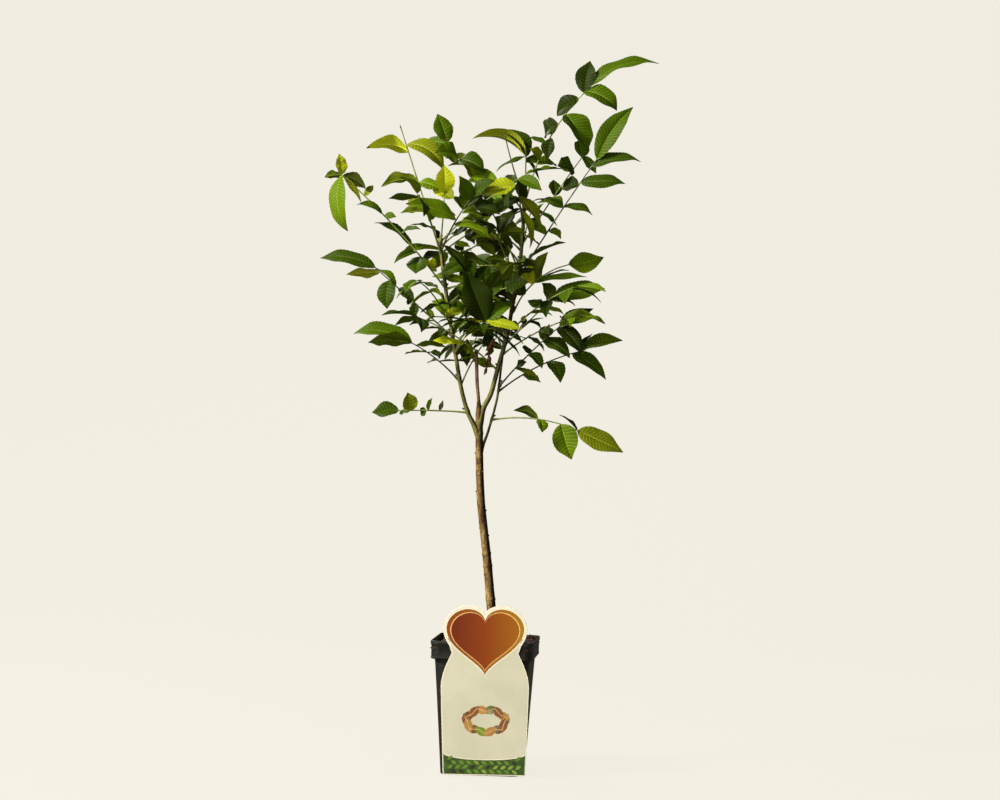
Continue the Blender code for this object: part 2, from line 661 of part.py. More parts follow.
class Space:
    """The shapes that have their place, which no later one may touch."""

    def __init__(self):
        self.trees = []

    def add(self, name, points, faces):
        self.trees.append((name, BVHTree.FromPolygons(points, faces)))

    def free(self, points, faces, besides=None):
        tree = BVHTree.FromPolygons(points, faces)
        return not any(tree.overlap(other) for name, other in self.trees if name != besides)


def place_stalk(leaf, space):
    """The leaf's stalk, turned or moved down its limb by the smallest step that clears."""
    for turn, slide in STALK_TRIES:
        stalk = Stalk(leaf, turn, slide)
        grown = stalk.rings(GAP)
        if space.free(*skin(grown[1:])) and space.free(*skin(grown), besides=leaf.limb):
            return stalk
    return None


def leaflet_spots(leaf):
    """Where the leaflets leave the stalk: share of its length, side and size."""
    pairs = len(leaf.left)
    last = LAST_PAIR if leaf.end else BARE_LAST_PAIR
    for pair in range(pairs):
        share = FIRST_PAIR + (last - FIRST_PAIR) * pair / (pairs - 1)
        for side, size in ((1, leaf.left[pair]), (-1, leaf.right[pair])):
            if size:
                yield share + 0.012 * side, side, size
    if leaf.end:
        yield 1.0, 0, leaf.end


def leaflet_try(stalk, share, side, size, wander, change):
    """One way to set a leaflet: splayed from the stalk, then hung towards the ground."""
    along = stalk.along(share)
    across = stalk.side(share)
    face = along.cross(across)
    lean, twist = change
    splay = side * (SPLAY + wander[0] + lean / 2)
    aim = turned(along, face, splay)
    spread = turned(across, face, splay)
    hang = (stalk.leaf.hang + wander[1] if side else stalk.leaf.nod) + lean
    down = aim.cross(Vector((0, 0, -1)))
    if down.length > 0.05:
        aim = turned(aim, down, hang)
        spread = turned(spread, down, hang)
    spread = turned(spread, aim, wander[2] + twist)
    root = stalk.at(share) - along * (0 if side else END_SINK)
    length = size * (1 + wander[3])
    return Leaflet(root, aim, spread, length, BLADE_WIDTH + length * BLADE_WIDENING, BLADE_BEND + wander[4])


def seen_leaflet(stalk, seen, change):
    """A leaflet set by its root and tip, with its face turned and its middle arched as it shows."""
    root = stalk.at(seen.at) - stalk.along(seen.at) * (END_SINK if seen.at == 1 else 0)
    aim = math.radians(seen.aim)
    reach = Vector((seen.length * math.cos(aim), seen.depth + change[1], seen.length * math.sin(aim)))
    chord = reach.normalized()
    front = (Vector((0, -1, 0)) + chord * chord.y).normalized()
    top = chord.cross(front)
    if top.z < 0:
        top = -top
    roll = math.radians(seen.roll + change[0])
    side = (top * math.cos(roll) + front * math.sin(roll)).cross(chord)
    half = math.radians(seen.bend / 2)
    length = reach.length * half / math.sin(half)
    return Leaflet(root, turned(chord, side, -seen.bend / 2), side, length, seen.width, seen.bend)


def leaflet_ways(stalk):
    """For each leaflet, the ways to set it with the wanted one first."""
    for row in SEEN.get(stalk.leaf.name, ()):
        yield [seen_leaflet(stalk, Seen(*row), change) for change in SEEN_TRIES]
    rnd = random.Random(stalk.leaf.name)
    for share, side, size in leaflet_spots(stalk.leaf):
        wander = (rnd.uniform(-9, 9), rnd.uniform(-9, 9), rnd.uniform(-16, 16),
                  rnd.uniform(-0.06, 0.06), rnd.uniform(-14, 14))
        yield [leaflet_try(stalk, share, side, size, wander, change) for change in LEAFLET_TRIES]


def place_leaflets(stalk, space):
    """The leaf's leaflets, each in the first way that clears its neighbours."""
    placed = []
    for ways in leaflet_ways(stalk):
        for leaflet in ways:
            if space.free(*blade(leaflet, GAP)):
                placed.append(leaflet)
                break
    return placed


def round_leaves():
    """The leaves on the sides that the front hides, by a turn that never repeats."""
    rnd = random.Random("round the crown")
    for k in range(ROUND_COUNT):
        limb = ROUND_LIMBS[k % len(ROUND_LIMBS)]
        share = (k + 0.5) / ROUND_COUNT
        height = ROUND_LOW + (ROUND_HIGH - ROUND_LOW) * share
        tip = LIMBS[limb].line[-1][2] - 4
        heading = ROUND_FIRST + ROUND_TURN * k
        length = rnd.uniform(120, 165)
        size = rnd.uniform(42, 50)
        sizes = tuple(size * (0.72 + 0.16 * pair) for pair in range(3))
        yield Leaf(f"foliage_round_{k + 1}", limb, min(height, tip), heading % 360, rnd.uniform(32, 52),
                   rnd.uniform(14, 30), length, rnd.uniform(-25, 25), HANG, sizes, sizes, size * 1.4,
                   rnd.uniform(-6, 10))


def make_limbs(bark, green):
    """The trunk and the boughs, each bough cut to fit round the trunk with a small gap."""
    points, faces = skin(trunk_rings())
    solid("trunk", points, faces, bark)
    cutter = solid("trunk_space", *skin(trunk_rings(GAP)), bark)
    shapes = {"trunk": (points, faces)}
    for name, limb in LIMBS.items():
        points, faces = skin(limb_rings(limb))
        cut_from(solid(name, points, faces, green), cutter)
        shapes[name] = (points, faces)
    bpy.data.objects.remove(cutter)
    return shapes


def make_foliage(shapes, greens):
    """Each compound leaf as one fused solid that touches neither a limb nor another leaf."""
    space = Space()
    for name, shape in shapes.items():
        space.add(name, *shape)
    for k, leaf in enumerate(LEAVES + tuple(round_leaves())):
        stalk = place_stalk(leaf, space)
        if stalk is None:
            continue
        leaflets = place_leaflets(stalk, space)
        material = greens[k % len(greens)]
        made = solid(leaf.name, *skin(stalk.rings()), material)
        pieces = []
        for leaflet in leaflets:
            points, faces = blade(leaflet)
            pieces.append(solid(leaf.name + "_leaflet", points, faces, material))
            space.add(leaf.name, points, faces)
        space.add(leaf.name, *skin(stalk.rings()))
        join_to(made, pieces)


def main():
    for old in list(bpy.data.objects):
        bpy.data.objects.remove(old)
    frame = bpy.data.objects.new("pot_frame", None)
    frame.rotation_euler.z = math.radians(POT_TURN)
    bpy.context.scene.collection.objects.link(frame)
    make_pot(frame, finish("black_plastic", 0.018, 0.019, 0.021, 0.55))
    make_soil(frame, finish("compost", 0.035, 0.022, 0.014, 0.95))
    make_card(frame, finish("printed_board", 0.78, 0.72, 0.60, 0.5))
    bark = finish("bark", 0.25, 0.18, 0.11, 0.85)
    green = finish("green_bark", 0.12, 0.13, 0.05, 0.6)
    shades = ((0.05, 0.11, 0.012), (0.09, 0.18, 0.018), (0.16, 0.27, 0.02))
    greens = [finish(f"leaf_green_{i + 1}", *shade, 0.45) for i, shade in enumerate(shades)]
    make_foliage(make_limbs(bark, green), greens)


main()
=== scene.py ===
"""The looks of a young walnut tree in a nursery pot: bark, leaves, compost, pot and card.

Sizes are in millimetres and angles in degrees; each mesh is scaled to metres as it is made.
Where the leaves stand follows the same rule as the solids, written again here and carried finer.
"""

import math
import random
from typing import NamedTuple

import bpy
from mathutils import Matrix, Vector, noise
from mathutils.bvhtree import BVHTree


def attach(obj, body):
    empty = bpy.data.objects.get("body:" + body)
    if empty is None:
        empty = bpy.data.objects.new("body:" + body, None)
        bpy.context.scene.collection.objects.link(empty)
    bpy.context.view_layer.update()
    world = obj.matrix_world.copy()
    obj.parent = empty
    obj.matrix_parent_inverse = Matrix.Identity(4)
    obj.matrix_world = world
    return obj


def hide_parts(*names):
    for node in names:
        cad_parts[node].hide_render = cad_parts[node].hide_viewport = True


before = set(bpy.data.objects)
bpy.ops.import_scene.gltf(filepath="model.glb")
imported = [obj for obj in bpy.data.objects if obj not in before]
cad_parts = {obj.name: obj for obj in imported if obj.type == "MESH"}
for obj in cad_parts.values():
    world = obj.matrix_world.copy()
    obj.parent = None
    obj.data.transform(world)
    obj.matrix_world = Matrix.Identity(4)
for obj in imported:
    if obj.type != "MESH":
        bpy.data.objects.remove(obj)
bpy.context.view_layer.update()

MM = 0.001
GAP = 0.3

# The pot, as in the solids
POT_TURN = -5.0
POT_HEIGHT = 195.0
RIM_HALF = 75.0
RIM_BAND = 26.0
BODY_HALF_TOP = 69.0
BODY_HALF_FOOT = 58.5
POT_CORNER = 14.0
WALL = 1.2
CORNER_STEPS = 12

SOIL_EDGE = 184.0
SOIL_TOP = 200.6
SOIL_LUMP = 3.0
SOIL_RINGS = 44
SOIL_PATCH = 17.0

# The card, as in the solids
CARD_SHIFT = 5.0
CARD_LEAN = -0.8
CARD_FOOT = 3.0
CARD_THICK = 0.8
HEART_TOP = 241.0
HEART_WIDTH = 108.0
HEART_HEIGHT = 91.4
HEART_BORDER = 7.0
HEART_END = 1.88
WAIST_HALF = 48.5
WAIST_HEIGHT = 179.0
SHOULDER_HALF = 64.0
SHOULDER_HEIGHT = 129.0
CARD_FOOT_HALF = 60.0
TAB_HALF = 14.0
TAB_THICK = 0.6
TAB_DEPTH = 8.0
CARD_MARGIN = 1.5
PRINT_THICK = 0.1

# The trunk and its boughs, as in the solids
TRUNK_FOOT = SOIL_TOP + GAP
TRUNK_LINE = ((11, 0, TRUNK_FOOT), (6, 1, 245), (-2, 2, 317), (-12, 2, 395),
              (-16, 1, 465), (-18, 0, 530), (-22, -2, 575), (-24, -3, 618))
TRUNK_THICK = 14.4
TRUNK_THIN = 10.8
FORK_HEIGHT = 522.0
FORK_LENGTH = 26.0
LEADER_THICK = 4.8
FLARE = 5.5
FLARE_REACH = 10.0
FLARE_RIDGES = 5
TRUNK_SIDES = 12
TRUNK_RINGS = 20


class Limb(NamedTuple):
    """A bough: its middle line from inside the trunk to its tip, and its two thicknesses."""
    line: tuple
    thick: float
    thin: float


LIMBS = {
    "bough_left": Limb(((-17, 0, 489), (-24, -2, 506), (-35, -4, 528), (-45, -7, 562),
                        (-54, -11, 610), (-65, -16, 671), (-76, -21, 741), (-81, -24, 781)), 7.0, 5.0),
    "bough_right": Limb(((-17, 0, 508), (-12, 0, 532), (-1, 1, 555), (9, 2, 595),
                         (19, 5, 634), (28, 9, 685), (38, 14, 755), (43, 19, 856)), 8.0, 5.0),
    "shoot_right": Limb(((-16, 1, 452), (-11, 5, 477), (-3, 9, 502), (8, 14, 547),
                         (13, 18, 592), (18, 20, 643)), 4.4, 3.0),
}
LIMB_SIDES = 8
LIMB_RINGS = 14


class Leaf(NamedTuple):
    """A compound leaf: a stalk with leaflets in pairs and, mostly, one leaflet on its end.

    heading is 0 to the right, 90 to the back and 270 to the front; rise is the stalk's slope at
    the limb and drop what it loses on its way; roll turns its face about the stalk; hang is how
    far the side leaflets droop and nod how far the end one does; left and right hold the side
    leaflets' lengths from the lowest pair up, as seen along the stalk, with 0 for a fallen one.
    A leaf whose leaflets show one by one has them in the list of those instead.
    """
    name: str
    limb: str
    height: float
    heading: float
    rise: float
    drop: float
    length: float
    roll: float = 0
    hang: float = 0
    left: tuple = ()
    right: tuple = ()
    end: float = 0
    nod: float = 0


LEAVES = (
    Leaf("foliage_left_6", "bough_left", 776, 290, 74, -12, 72),
    Leaf("foliage_left_1", "bough_left", 528, 184, 3, 6, 100),
    Leaf("foliage_left_2", "bough_left", 576, 194, 46, 20, 88),
    Leaf("foliage_left_3", "bough_left", 640, 168, 40, 0, 153),
    Leaf("foliage_left_4", "bough_left", 712, 184, 52, 12, 222),
    Leaf("foliage_left_5", "bough_left", 768, 176, 71, 0, 183),
    Leaf("foliage_left_7", "bough_left", 774, 320, 62, 20, 96),
    Leaf("foliage_right_1", "shoot_right", 517, 346, 10, 32, 132),
    Leaf("foliage_right_2", "shoot_right", 560, 16, 38, 24, 143),
    Leaf("foliage_right_3", "shoot_right", 568, 340, 49, 10, 128),
    Leaf("foliage_right_4", "bough_right", 632, 4, 47, 4, 92),
    Leaf("foliage_right_5", "bough_right", 678, 2, 68, 54, 112),
    Leaf("foliage_right_6", "bough_right", 731, 348, 59, 4, 206),
    Leaf("foliage_right_7", "bough_right", 788, 22, 57, 4, 163),
    Leaf("foliage_top_1", "bough_right", 850, 6, 77, 31, 183),
    Leaf("foliage_top_2", "bough_right", 846, 188, 68, -8, 92),
    Leaf("foliage_top_3", "bough_right", 853, 90, 74, -4, 60),
    Leaf("foliage_middle_6", "shoot_right", 618, 250, 46, 36, 92),
    Leaf("foliage_middle_4", "bough_right", 800, 262, 50, 26, 96),
    Leaf("foliage_middle_2", "bough_right", 742, 198, 66, 16, 214),
    Leaf("foliage_middle_8", "bough_left", 616, 300, 40, 40, 34),
    Leaf("foliage_middle_5", "bough_left", 664, 310, 40, 30, 104),
    Leaf("foliage_middle_1", "bough_right", 700, 232, 74, 52, 150, -25, 16, (32, 38, 40), (34, 40, 38), 50),
    Leaf("foliage_middle_3", "bough_right", 638, 212, 26, 28, 124),
    Leaf("foliage_middle_7", "bough_left", 736, 342, 44, 22, 96, -40, 12, (28, 34, 32), (30, 36, 32), 44, 6),
)


class Seen(NamedTuple):
    """A leaflet that shows by itself, from its root on the stalk to its tip.

    at is its root's share of the stalk; aim is 0 to the right and 90 upwards as seen from the
    front; length is what shows of it and depth how far back its tip is; roll is 0 for a level
    blade and 90 for one that turns its face to the front; bend is how far it turns down; shade
    is its place in the list of the leaves' colours.
    """
    at: float
    aim: float
    length: float
    depth: float
    width: float
    roll: float
    bend: float
    shade: int


SEEN = {
    "foliage_left_1": (
        (1, 186, 40, 6, 28, 50, 20, 1), (0.8, 194, 19, 12, 17, 40, 20, 2),
        (0.79, 103, 27, -6, 27, 78, 10, 4), (0.57, 210, 11, 6, 16, 60, 40, 1),
        (0.55, 73, 20, -4, 9, 60, 10, 1), (0.38, 73, 17, 4, 9, 60, 10, 0),
    ),
    "foliage_left_2": (
        (1, 171, 90, 4, 35, 42, 45, 2), (0.97, 181, 64, -22, 32, -32, 30, 2),
        (0.9, 357, 47, 16, 23, -30, 10, 2), (0.68, 185, 34, 20, 16, 6, 20, 3),
        (0.66, 338, 20, -16, 16, 20, 70, 0), (0.45, 194, 17, 8, 12, 20, 20, 2),
        (0.42, 1, 46, 20, 19, 6, 10, 0),
    ),
    "foliage_left_3": (
        (1, 171, 85, 10, 30, 42, 50, 1), (0.93, 183, 50, 24, 26, -32, -12, 5),
        (0.72, 141, 41, 20, 21, 38, 56, 2), (0.8, 267, 43, -12, 30, 72, 30, 1),
        (0.68, 320, 32, -12, 19, 62, 34, 0), (0.56, 278, 12, 12, 14, 50, 30, 1),
        (0.46, 268, 24, -14, 17, 64, 40, 0), (0.24, 124, 18, 22, 16, 30, 30, 3),
        (0.2, 191, 38, -26, 19, 10, 20, 1), (0.08, 179, 30, 24, 14, 6, 16, 1),
    ),
    "foliage_left_4": (
        (1, 98, 32, 4, 20, 62, 10, 5), (0.99, 187, 26, 14, 19, -30, 16, 2),
        (0.98, 331, 41, -10, 23, -50, 50, 0), (0.97, 307, 46, 8, 14, 50, 10, 6),
        (0.985, 277, 85, -14, 35, 140, 70, 3), (0.62, 161, 40, -8, 21, 40, 70, 2),
        (0.6, 353, 18, -10, 12, 60, 60, 2), (0.78, 58, 21, 10, 12, 60, 30, 4),
        (0.33, 147, 68, 16, 23, 36, 36, 1), (0.44, 12, 30, -24, 16, 40, 30, 1),
        (0.27, 206, 38, -20, 14, 45, 88, 1), (0.3, 33, 12, 14, 14, 50, 60, 2),
        (0.24, 258, 27, -26, 35, 74, 30, 1), (0.17, 352, 13, 20, 21, 60, 40, 6),
    ),
    "foliage_left_5": (
        (0.8, 176, 63, 8, 42, -34, 78, 6), (0.86, 327, 68, -12, 35, 44, 88, 4),
        (0.55, 189, 55, 12, 28, -24, 60, 3), (0.54, 341, 37, -16, 30, 44, 60, 3),
        (0.4, 227, 28, -14, 30, 60, 90, 4), (0.36, 341, 48, -20, 30, 40, 40, 3),
    ),
    "foliage_left_6": (
        (1, 92, 42, -6, 30, 62, 20, 6), (0.97, 333, 17, -16, 21, 60, 20, 4),
        (0.9, 136, 25, 10, 16, 60, 30, 6),
    ),
    "foliage_left_7": (
        (0.5, 164, 77, -22, 32, 50, 26, 3), (1, 36, 40, -14, 26, 50, 40, 1),
        (0.9, 115, 37, -20, 26, 60, 30, 2), (0.72, 352, 55, -16, 32, 40, 50, 0),
        (0.7, 118, 24, 12, 28, 40, 40, 2), (0.42, 338, 62, -10, 35, 30, 40, 3),
        (0.05, 308, 62, -24, 23, 44, 30, 0),
    ),
    "foliage_right_1": (
        (1, 336, 75, -6, 39, 60, 26, 4), (0.78, 288, 54, -12, 44, 78, 18, 3),
        (0.98, 138, 35, 14, 15, 20, 12, 0), (0.54, 280, 19, -14, 21, 68, 60, 3),
        (0.52, 162, 39, 18, 23, -40, 70, 1),
    ),
    "foliage_right_2": (
        (1, 15, 64, 8, 29, 34, 44, 3), (0.88, 324, 64, -12, 35, 54, 38, 2),
        (0.6, 301, 36, -22, 26, 54, 105, 2), (0.96, 55, 34, 22, 12, 60, 30, 0),
        (0.3, 338, 28, -16, 19, 34, 36, 3),
    ),
    "foliage_right_3": (
        (1, 29, 57, 12, 28, 54, 30, 0), (0.98, 16, 56, -16, 28, 44, 34, 3),
        (0.96, 312, 51, -26, 32, 54, 80, 0), (0.74, 327, 47, -20, 30, 60, 60, 1),
        (0.73, 70, 24, 18, 23, 60, 40, 1), (0.52, 308, 29, -18, 23, 60, 44, 2),
        (0.5, 116, 15, 16, 16, 50, 20, 0), (0.28, 29, 17, -14, 16, 40, 30, 1),
        (0.26, 333, 43, 10, 14, 40, 30, 4),
    ),
    "foliage_right_4": (
        (1, 13, 81, -8, 35, 46, 56, 2), (0.97, 118, 30, 18, 30, -54, 50, 1),
        (0.8, 345, 32, -12, 19, 36, 22, 2), (0.79, 156, 25, 14, 23, 56, 30, 2),
        (0.44, 336, 23, -12, 16, 30, 60, 0), (0.42, 157, 10, 12, 14, 40, 60, 0),
        (0.26, 28, 41, 18, 16, 20, 50, 2),
    ),
    "foliage_right_5": (
        (1, 14, 53, 6, 37, 46, -46, 3), (0.46, 7, 78, -16, 16, 40, 26, 2),
        (0.5, 23, 52, 22, 16, 4, 16, 0), (0.47, 70, 51, 14, 28, -50, 50, 3),
        (0.44, 112, 48, -12, 16, 50, 20, 6), (0.42, 136, 52, 16, 21, 40, 40, 6),
        (0.3, 158, 35, -22, 30, 60, 50, 1),
    ),
    "foliage_right_6": (
        (1, 57, 95, -4, 36, 72, 20, 2), (0.93, 8, 73, -10, 30, 50, 44, 1),
        (0.79, 1, 66, -14, 37, 46, 30, 1), (0.77, 190, 26, 14, 32, 50, 30, 0),
        (0.58, 344, 44, -12, 30, 38, 48, 1), (0.57, 170, 40, 20, 26, 40, 50, 2),
        (0.37, 329, 23, -16, 23, 46, 64, 3), (0.34, 144, 35, 22, 23, 40, 50, 3),
    ),
    "foliage_right_7": (
        (1, 308, 33, -8, 16, 60, 30, 1), (0.97, 99, 29, 14, 28, 60, 24, 2),
        (0.84, 176, 25, -16, 37, 62, 34, 1), (0.52, 95, 25, 12, 23, 60, 34, 1),
        (0.5, 332, 17, -10, 16, 50, 20, 2), (0.47, 185, 29, -16, 16, 14, 30, 0),
    ),
    "foliage_top_1": (
        (1, 22, 118, 4, 32, 36, 62, 2), (0.96, 81, 51, 10, 35, 70, 16, 0),
        (0.97, 330, 57, -18, 39, 50, 90, 2), (0.9, 217, 42, 22, 32, 56, 60, 0),
        (0.73, 300, 66, -16, 51, 60, 50, 2), (0.63, 222, 27, 18, 39, 50, 60, 0),
        (0.5, 265, 32, -10, 23, 60, 30, 0), (0.44, 158, 32, 18, 16, 40, 30, 1),
        (0.3, 135, 21, -18, 23, 50, 60, 4), (0.26, 0, 29, 20, 26, 40, 50, 2),
    ),
    "foliage_top_2": (
        (0.25, 187, 27, 34, 23, 40, 40, 1),
    ),
    "foliage_top_3": (
        (1, 163, 84, 4, 39, -27, 98, 5), (0.93, 136, 61, 46, 44, 24, 84, 1),
        (0.95, 207, 51, -16, 16, 30, 30, 1), (0.93, 300, 41, -14, 9, 30, 20, 0),
        (0.8, 2, 30, 20, 23, 40, 60, 1),
    ),
    "foliage_middle_2": (
        (1, 111, 45, 6, 32, 62, 12, 2), (0.97, 175, 39, 10, 30, 50, 40, 2),
        (0.88, 177, 31, -20, 35, 62, 40, 2), (0.84, 334, 40, -14, 37, 52, 70, 1),
        (0.7, 350, 41, -20, 28, 42, 36, 3), (0.66, 117, 37, 12, 28, 50, 40, 4),
        (0.56, 197, 37, -18, 37, 62, 50, 0), (0.54, 336, 52, 14, 35, 50, 60, 0),
        (0.4, 213, 66, -20, 30, 30, 60, 0), (0.38, 315, 60, 16, 30, 40, 50, 3),
    ),
    "foliage_middle_4": (
        (1, 194, 59, -14, 36, 60, 16, 5), (0.97, 250, 37, -24, 30, 40, 60, 0),
        (0.7, 306, 58, -14, 26, 44, 40, 4), (0.66, 213, 55, -18, 35, 50, 50, 1),
        (0.4, 238, 51, -20, 32, 40, 50, 0), (0.36, 287, 58, 12, 23, 40, 40, 5),
    ),
    "foliage_middle_5": (
        (1, 15, 36, -12, 32, 68, 30, 0), (0.92, 153, 14, 12, 32, 66, 30, 1),
        (0.07, 149, 40, 12, 30, 68, 14, 3), (0.1, 89, 22, -12, 26, 74, 14, 1),
        (0.5, 143, 37, 14, 28, 50, 30, 2),
    ),
    "foliage_middle_8": (
        (0.8, 177, 47, -14, 19, 30, 24, 6), (0.9, 334, 9, 10, 19, 30, 40, 4),
        (1, 295, 31, -20, 16, 40, 30, 4),
    ),
    "foliage_middle_6": (
        (1, 113, 76, -8, 49, 84, 8, 0), (0.97, 348, 55, -14, 21, 40, 20, 5),
        (0.95, 35, 49, 12, 30, 60, 40, 2), (0.6, 202, 49, -22, 16, 20, 40, 6),
        (0.5, 318, 52, -12, 14, 24, 30, 0),
    ),
    "foliage_middle_3": (
        (1, 205, 17, -10, 12, 24, 20, 2), (0.86, 21, 29, 14, 19, 40, 30, 4),
        (0.62, 355, 37, -18, 14, 16, 20, 4), (0.6, 201, 37, -26, 12, 8, 16, 1),
        (0.34, 323, 29, 16, 14, 20, 30, 3), (0.32, 193, 33, 20, 14, 6, 16, 1),
    ),
}

# The leaves that the front hides, spread round the back and the near side by one rule
ROUND_LIMBS = ("bough_left", "bough_right", "shoot_right", "bough_right", "bough_left")
ROUND_COUNT = 12
ROUND_LOW = 556.0
ROUND_HIGH = 838.0
ROUND_FIRST = 62.0
ROUND_TURN = 137.5

STALK_THICK = 3.4
STALK_THIN = 1.8
STALK_SIDES = 5
STALK_STEPS = 5
STALK_FOOT_GROWTH = 1.2
STALK_TRIES = ((0, 0), (9, 0), (-9, 0), (0, 8), (18, 0), (-18, 0), (18, 8), (-18, 8), (30, 16), (-30, 16),
               (45, 20), (-45, 20))
FIRST_PAIR = 0.36
LAST_PAIR = 0.93
BARE_LAST_PAIR = 0.82
SPLAY = 58.0
HANG = 18.0
SEEN_TRIES = ((0, 0), (15, 0), (-15, 0), (0, 14), (0, -14), (30, 14), (-30, -14), (0, 28), (0, -28))
LEAFLET_TRIES = ((0, 0), (12, 0), (-12, 0), (0, 14), (0, -14), (24, 10), (-24, -10), (36, 0), (-36, 0))
BLADE_WIDTH = 6.5
BLADE_WIDENING = 0.34
BLADE_STATIONS = (0.24, 0.52, 0.8)
SMALL_STATIONS = (0.3, 0.72)
SMALL_BLADE = 46.0
BLADE_THICK = 1.3
BLADE_FOLD = 17.0
BLADE_BEND = 34.0
BLADE_ROOT = 1.1
BLADE_SINK = 0.4
END_SINK = 2.5

# Small leaves that fill the inside of the crown, finer than the solids go
INNER_COUNT = 18
INNER_LOW = 640.0
INNER_HIGH = 800.0
INNER_FIRST = 270.0
INNER_SPREAD = 50.0
INNER_LIMBS = ("bough_right", "bough_left", "bough_right", "shoot_right", "bough_left", "bough_right")
TIP_CLEARANCE = 4

# A leaflet in full: its side veins, its teeth and the columns of points across it
VEIN_SPACING = 5.4
VEIN_ROWS = ((0.0, "vein"), (0.13, "after"), (0.44, "swell"), (0.74, "swell"))
TEETH = {"vein": 0.28, "after": 0.34, "swell": -0.16, "end": 0.0}
COLUMNS = (-1.0, -0.74, -0.42, -0.05, 0.0, 0.05, 0.42, 0.74, 1.0)
CHEVRON = 0.55
SHEET_THICK = 0.34
VEIN_DEPTH = 0.12
MIDRIB_DEPTH = 0.5
LEAST_BEND = 2.0
CURL_START = 0.68
CURL_SPAN = 0.32
WORN_FROM = 0.9

# A stalk in full
FULL_STEPS = 36
FULL_THICK = 2.8
FULL_THIN = 1.6


# Shapes shared with the solids

def smooth_line(stations, count):
    """Evenly numbered points on one smooth curve that passes through the stations."""
    knots = [Vector(s) for s in stations]
    knots = [2 * knots[0] - knots[1]] + knots + [2 * knots[-1] - knots[-2]]
    spans = len(knots) - 3
    line = []
    for i in range(count + 1):
        place = spans * i / count
        span = min(int(place), spans - 1)
        t = place - span
        a, b, c, d = knots[span:span + 4]
        line.append(0.5 * (2 * b + (c - a) * t + (2 * a - 5 * b + 4 * c - d) * t ** 2
                           + (3 * b - a - 3 * c + d) * t ** 3))
    return line


def around(count):
    """Evenly spaced turns round a circle."""
    return [2 * math.pi * s / count for s in range(count)]


def skin(rings):
    """A closed shape over equal rings of points, with flat ends."""
    sides = len(rings[0])
    points = [p for ring in rings for p in ring]
    faces = []
    for r in range(len(rings) - 1):
        for s in range(sides):
            a = r * sides + s
            b = r * sides + (s + 1) % sides
            faces.append((a, b, b + sides, a + sides))
    faces.append(tuple(reversed(range(sides))))
    faces.append(tuple(range(len(points) - sides, len(points))))
    return points, faces


def tube(line, radii, sides):
    """A closed tapering tube about a line, whose rings don't twist."""
    rings = []
    across = Vector((0, 1, 0))
    for i, middle in enumerate(line):
        along = (line[min(i + 1, len(line) - 1)] - line[max(i - 1, 0)]).normalized()
        across = (across - across.dot(along) * along).normalized()
        other = along.cross(across)
        rings.append([middle + radii[i] * (math.cos(t) * across + math.sin(t) * other)
                      for t in around(sides)])
    return rings


def rounded_square(half, corner, height, middle=(0.0, 0.0)):
    """A level ring of points: a square of the given half width with round corners."""
    ring = []
    for quarter in range(4):
        for step in range(CORNER_STEPS + 1):
            turn = math.radians(90 * quarter + 90 * step / CORNER_STEPS)
            corner_turn = math.radians(90 * quarter + 45)
            reach = (half - corner) * math.sqrt(2)
            x = middle[0] + reach * math.cos(corner_turn) + corner * math.cos(turn)
            y = middle[1] + reach * math.sin(corner_turn) + corner * math.sin(turn)
            ring.append(Vector((x, y, height)))
    return ring


def trunk_radius(height):
    """The trunk's radius: an even taper, a flare at the foot and a quick step at the fork."""
    share = (height - TRUNK_FOOT) / (FORK_HEIGHT - TRUNK_FOOT)
    stem = TRUNK_THICK + (TRUNK_THIN - TRUNK_THICK) * min(max(share, 0.0), 1.0) ** 0.7
    step = min(max((height - FORK_HEIGHT) / FORK_LENGTH, 0.0), 1.0)
    return (stem + (LEADER_THICK - stem) * step * step * (3 - 2 * step)) / 2


def trunk_rings(sides, count):
    """The trunk's rings of points, with the first one flat on the compost."""
    line = smooth_line(TRUNK_LINE, count)
    rings = tube(line, [trunk_radius(p.z) for p in line], sides)
    for middle, ring in zip(line, rings):
        rise = middle.z - TRUNK_FOOT
        for s, p in enumerate(ring):
            ridge = 1 + 0.5 * math.cos(2 * math.pi * FLARE_RIDGES * s / sides)
            out = Vector((p.x - middle.x, p.y - middle.y, 0)).normalized()
            p += out * FLARE * ridge * math.exp(-rise / FLARE_REACH)
    for p in rings[0]:
        p.z = TRUNK_FOOT
    return rings


def limb_rings(limb):
    """A bough's rings of points, thick at its foot and thin at its tip."""
    line = smooth_line(limb.line, LIMB_RINGS)
    radii = [(limb.thick + (limb.thin - limb.thick) * i / LIMB_RINGS) / 2 for i in range(LIMB_RINGS + 1)]
    return tube(line, radii, LIMB_SIDES)


def limb_at(limb, height):
    """A bough at a height: the point of its middle line, its direction and its radius."""
    line = smooth_line(limb.line, LIMB_RINGS)
    for i in range(LIMB_RINGS):
        if line[i + 1].z >= height or i == LIMB_RINGS - 1:
            break
    share = min((height - line[i].z) / (line[i + 1].z - line[i].z), 1.0)
    radius = (limb.thick + (limb.thin - limb.thick) * (i + share) / LIMB_RINGS) / 2
    return line[i].lerp(line[i + 1], share), (line[i + 1] - line[i]).normalized(), radius


# Where the leaves stand

def direction(heading, rise):
    """The unit vector of a heading and a slope."""
    h = math.radians(heading)
    r = math.radians(rise)
    return Vector((math.cos(h) * math.cos(r), math.sin(h) * math.cos(r), math.sin(r)))


def turned(vector, axis, angle):
    """A vector turned about an axis."""
    return Matrix.Rotation(math.radians(angle), 3, axis) @ vector


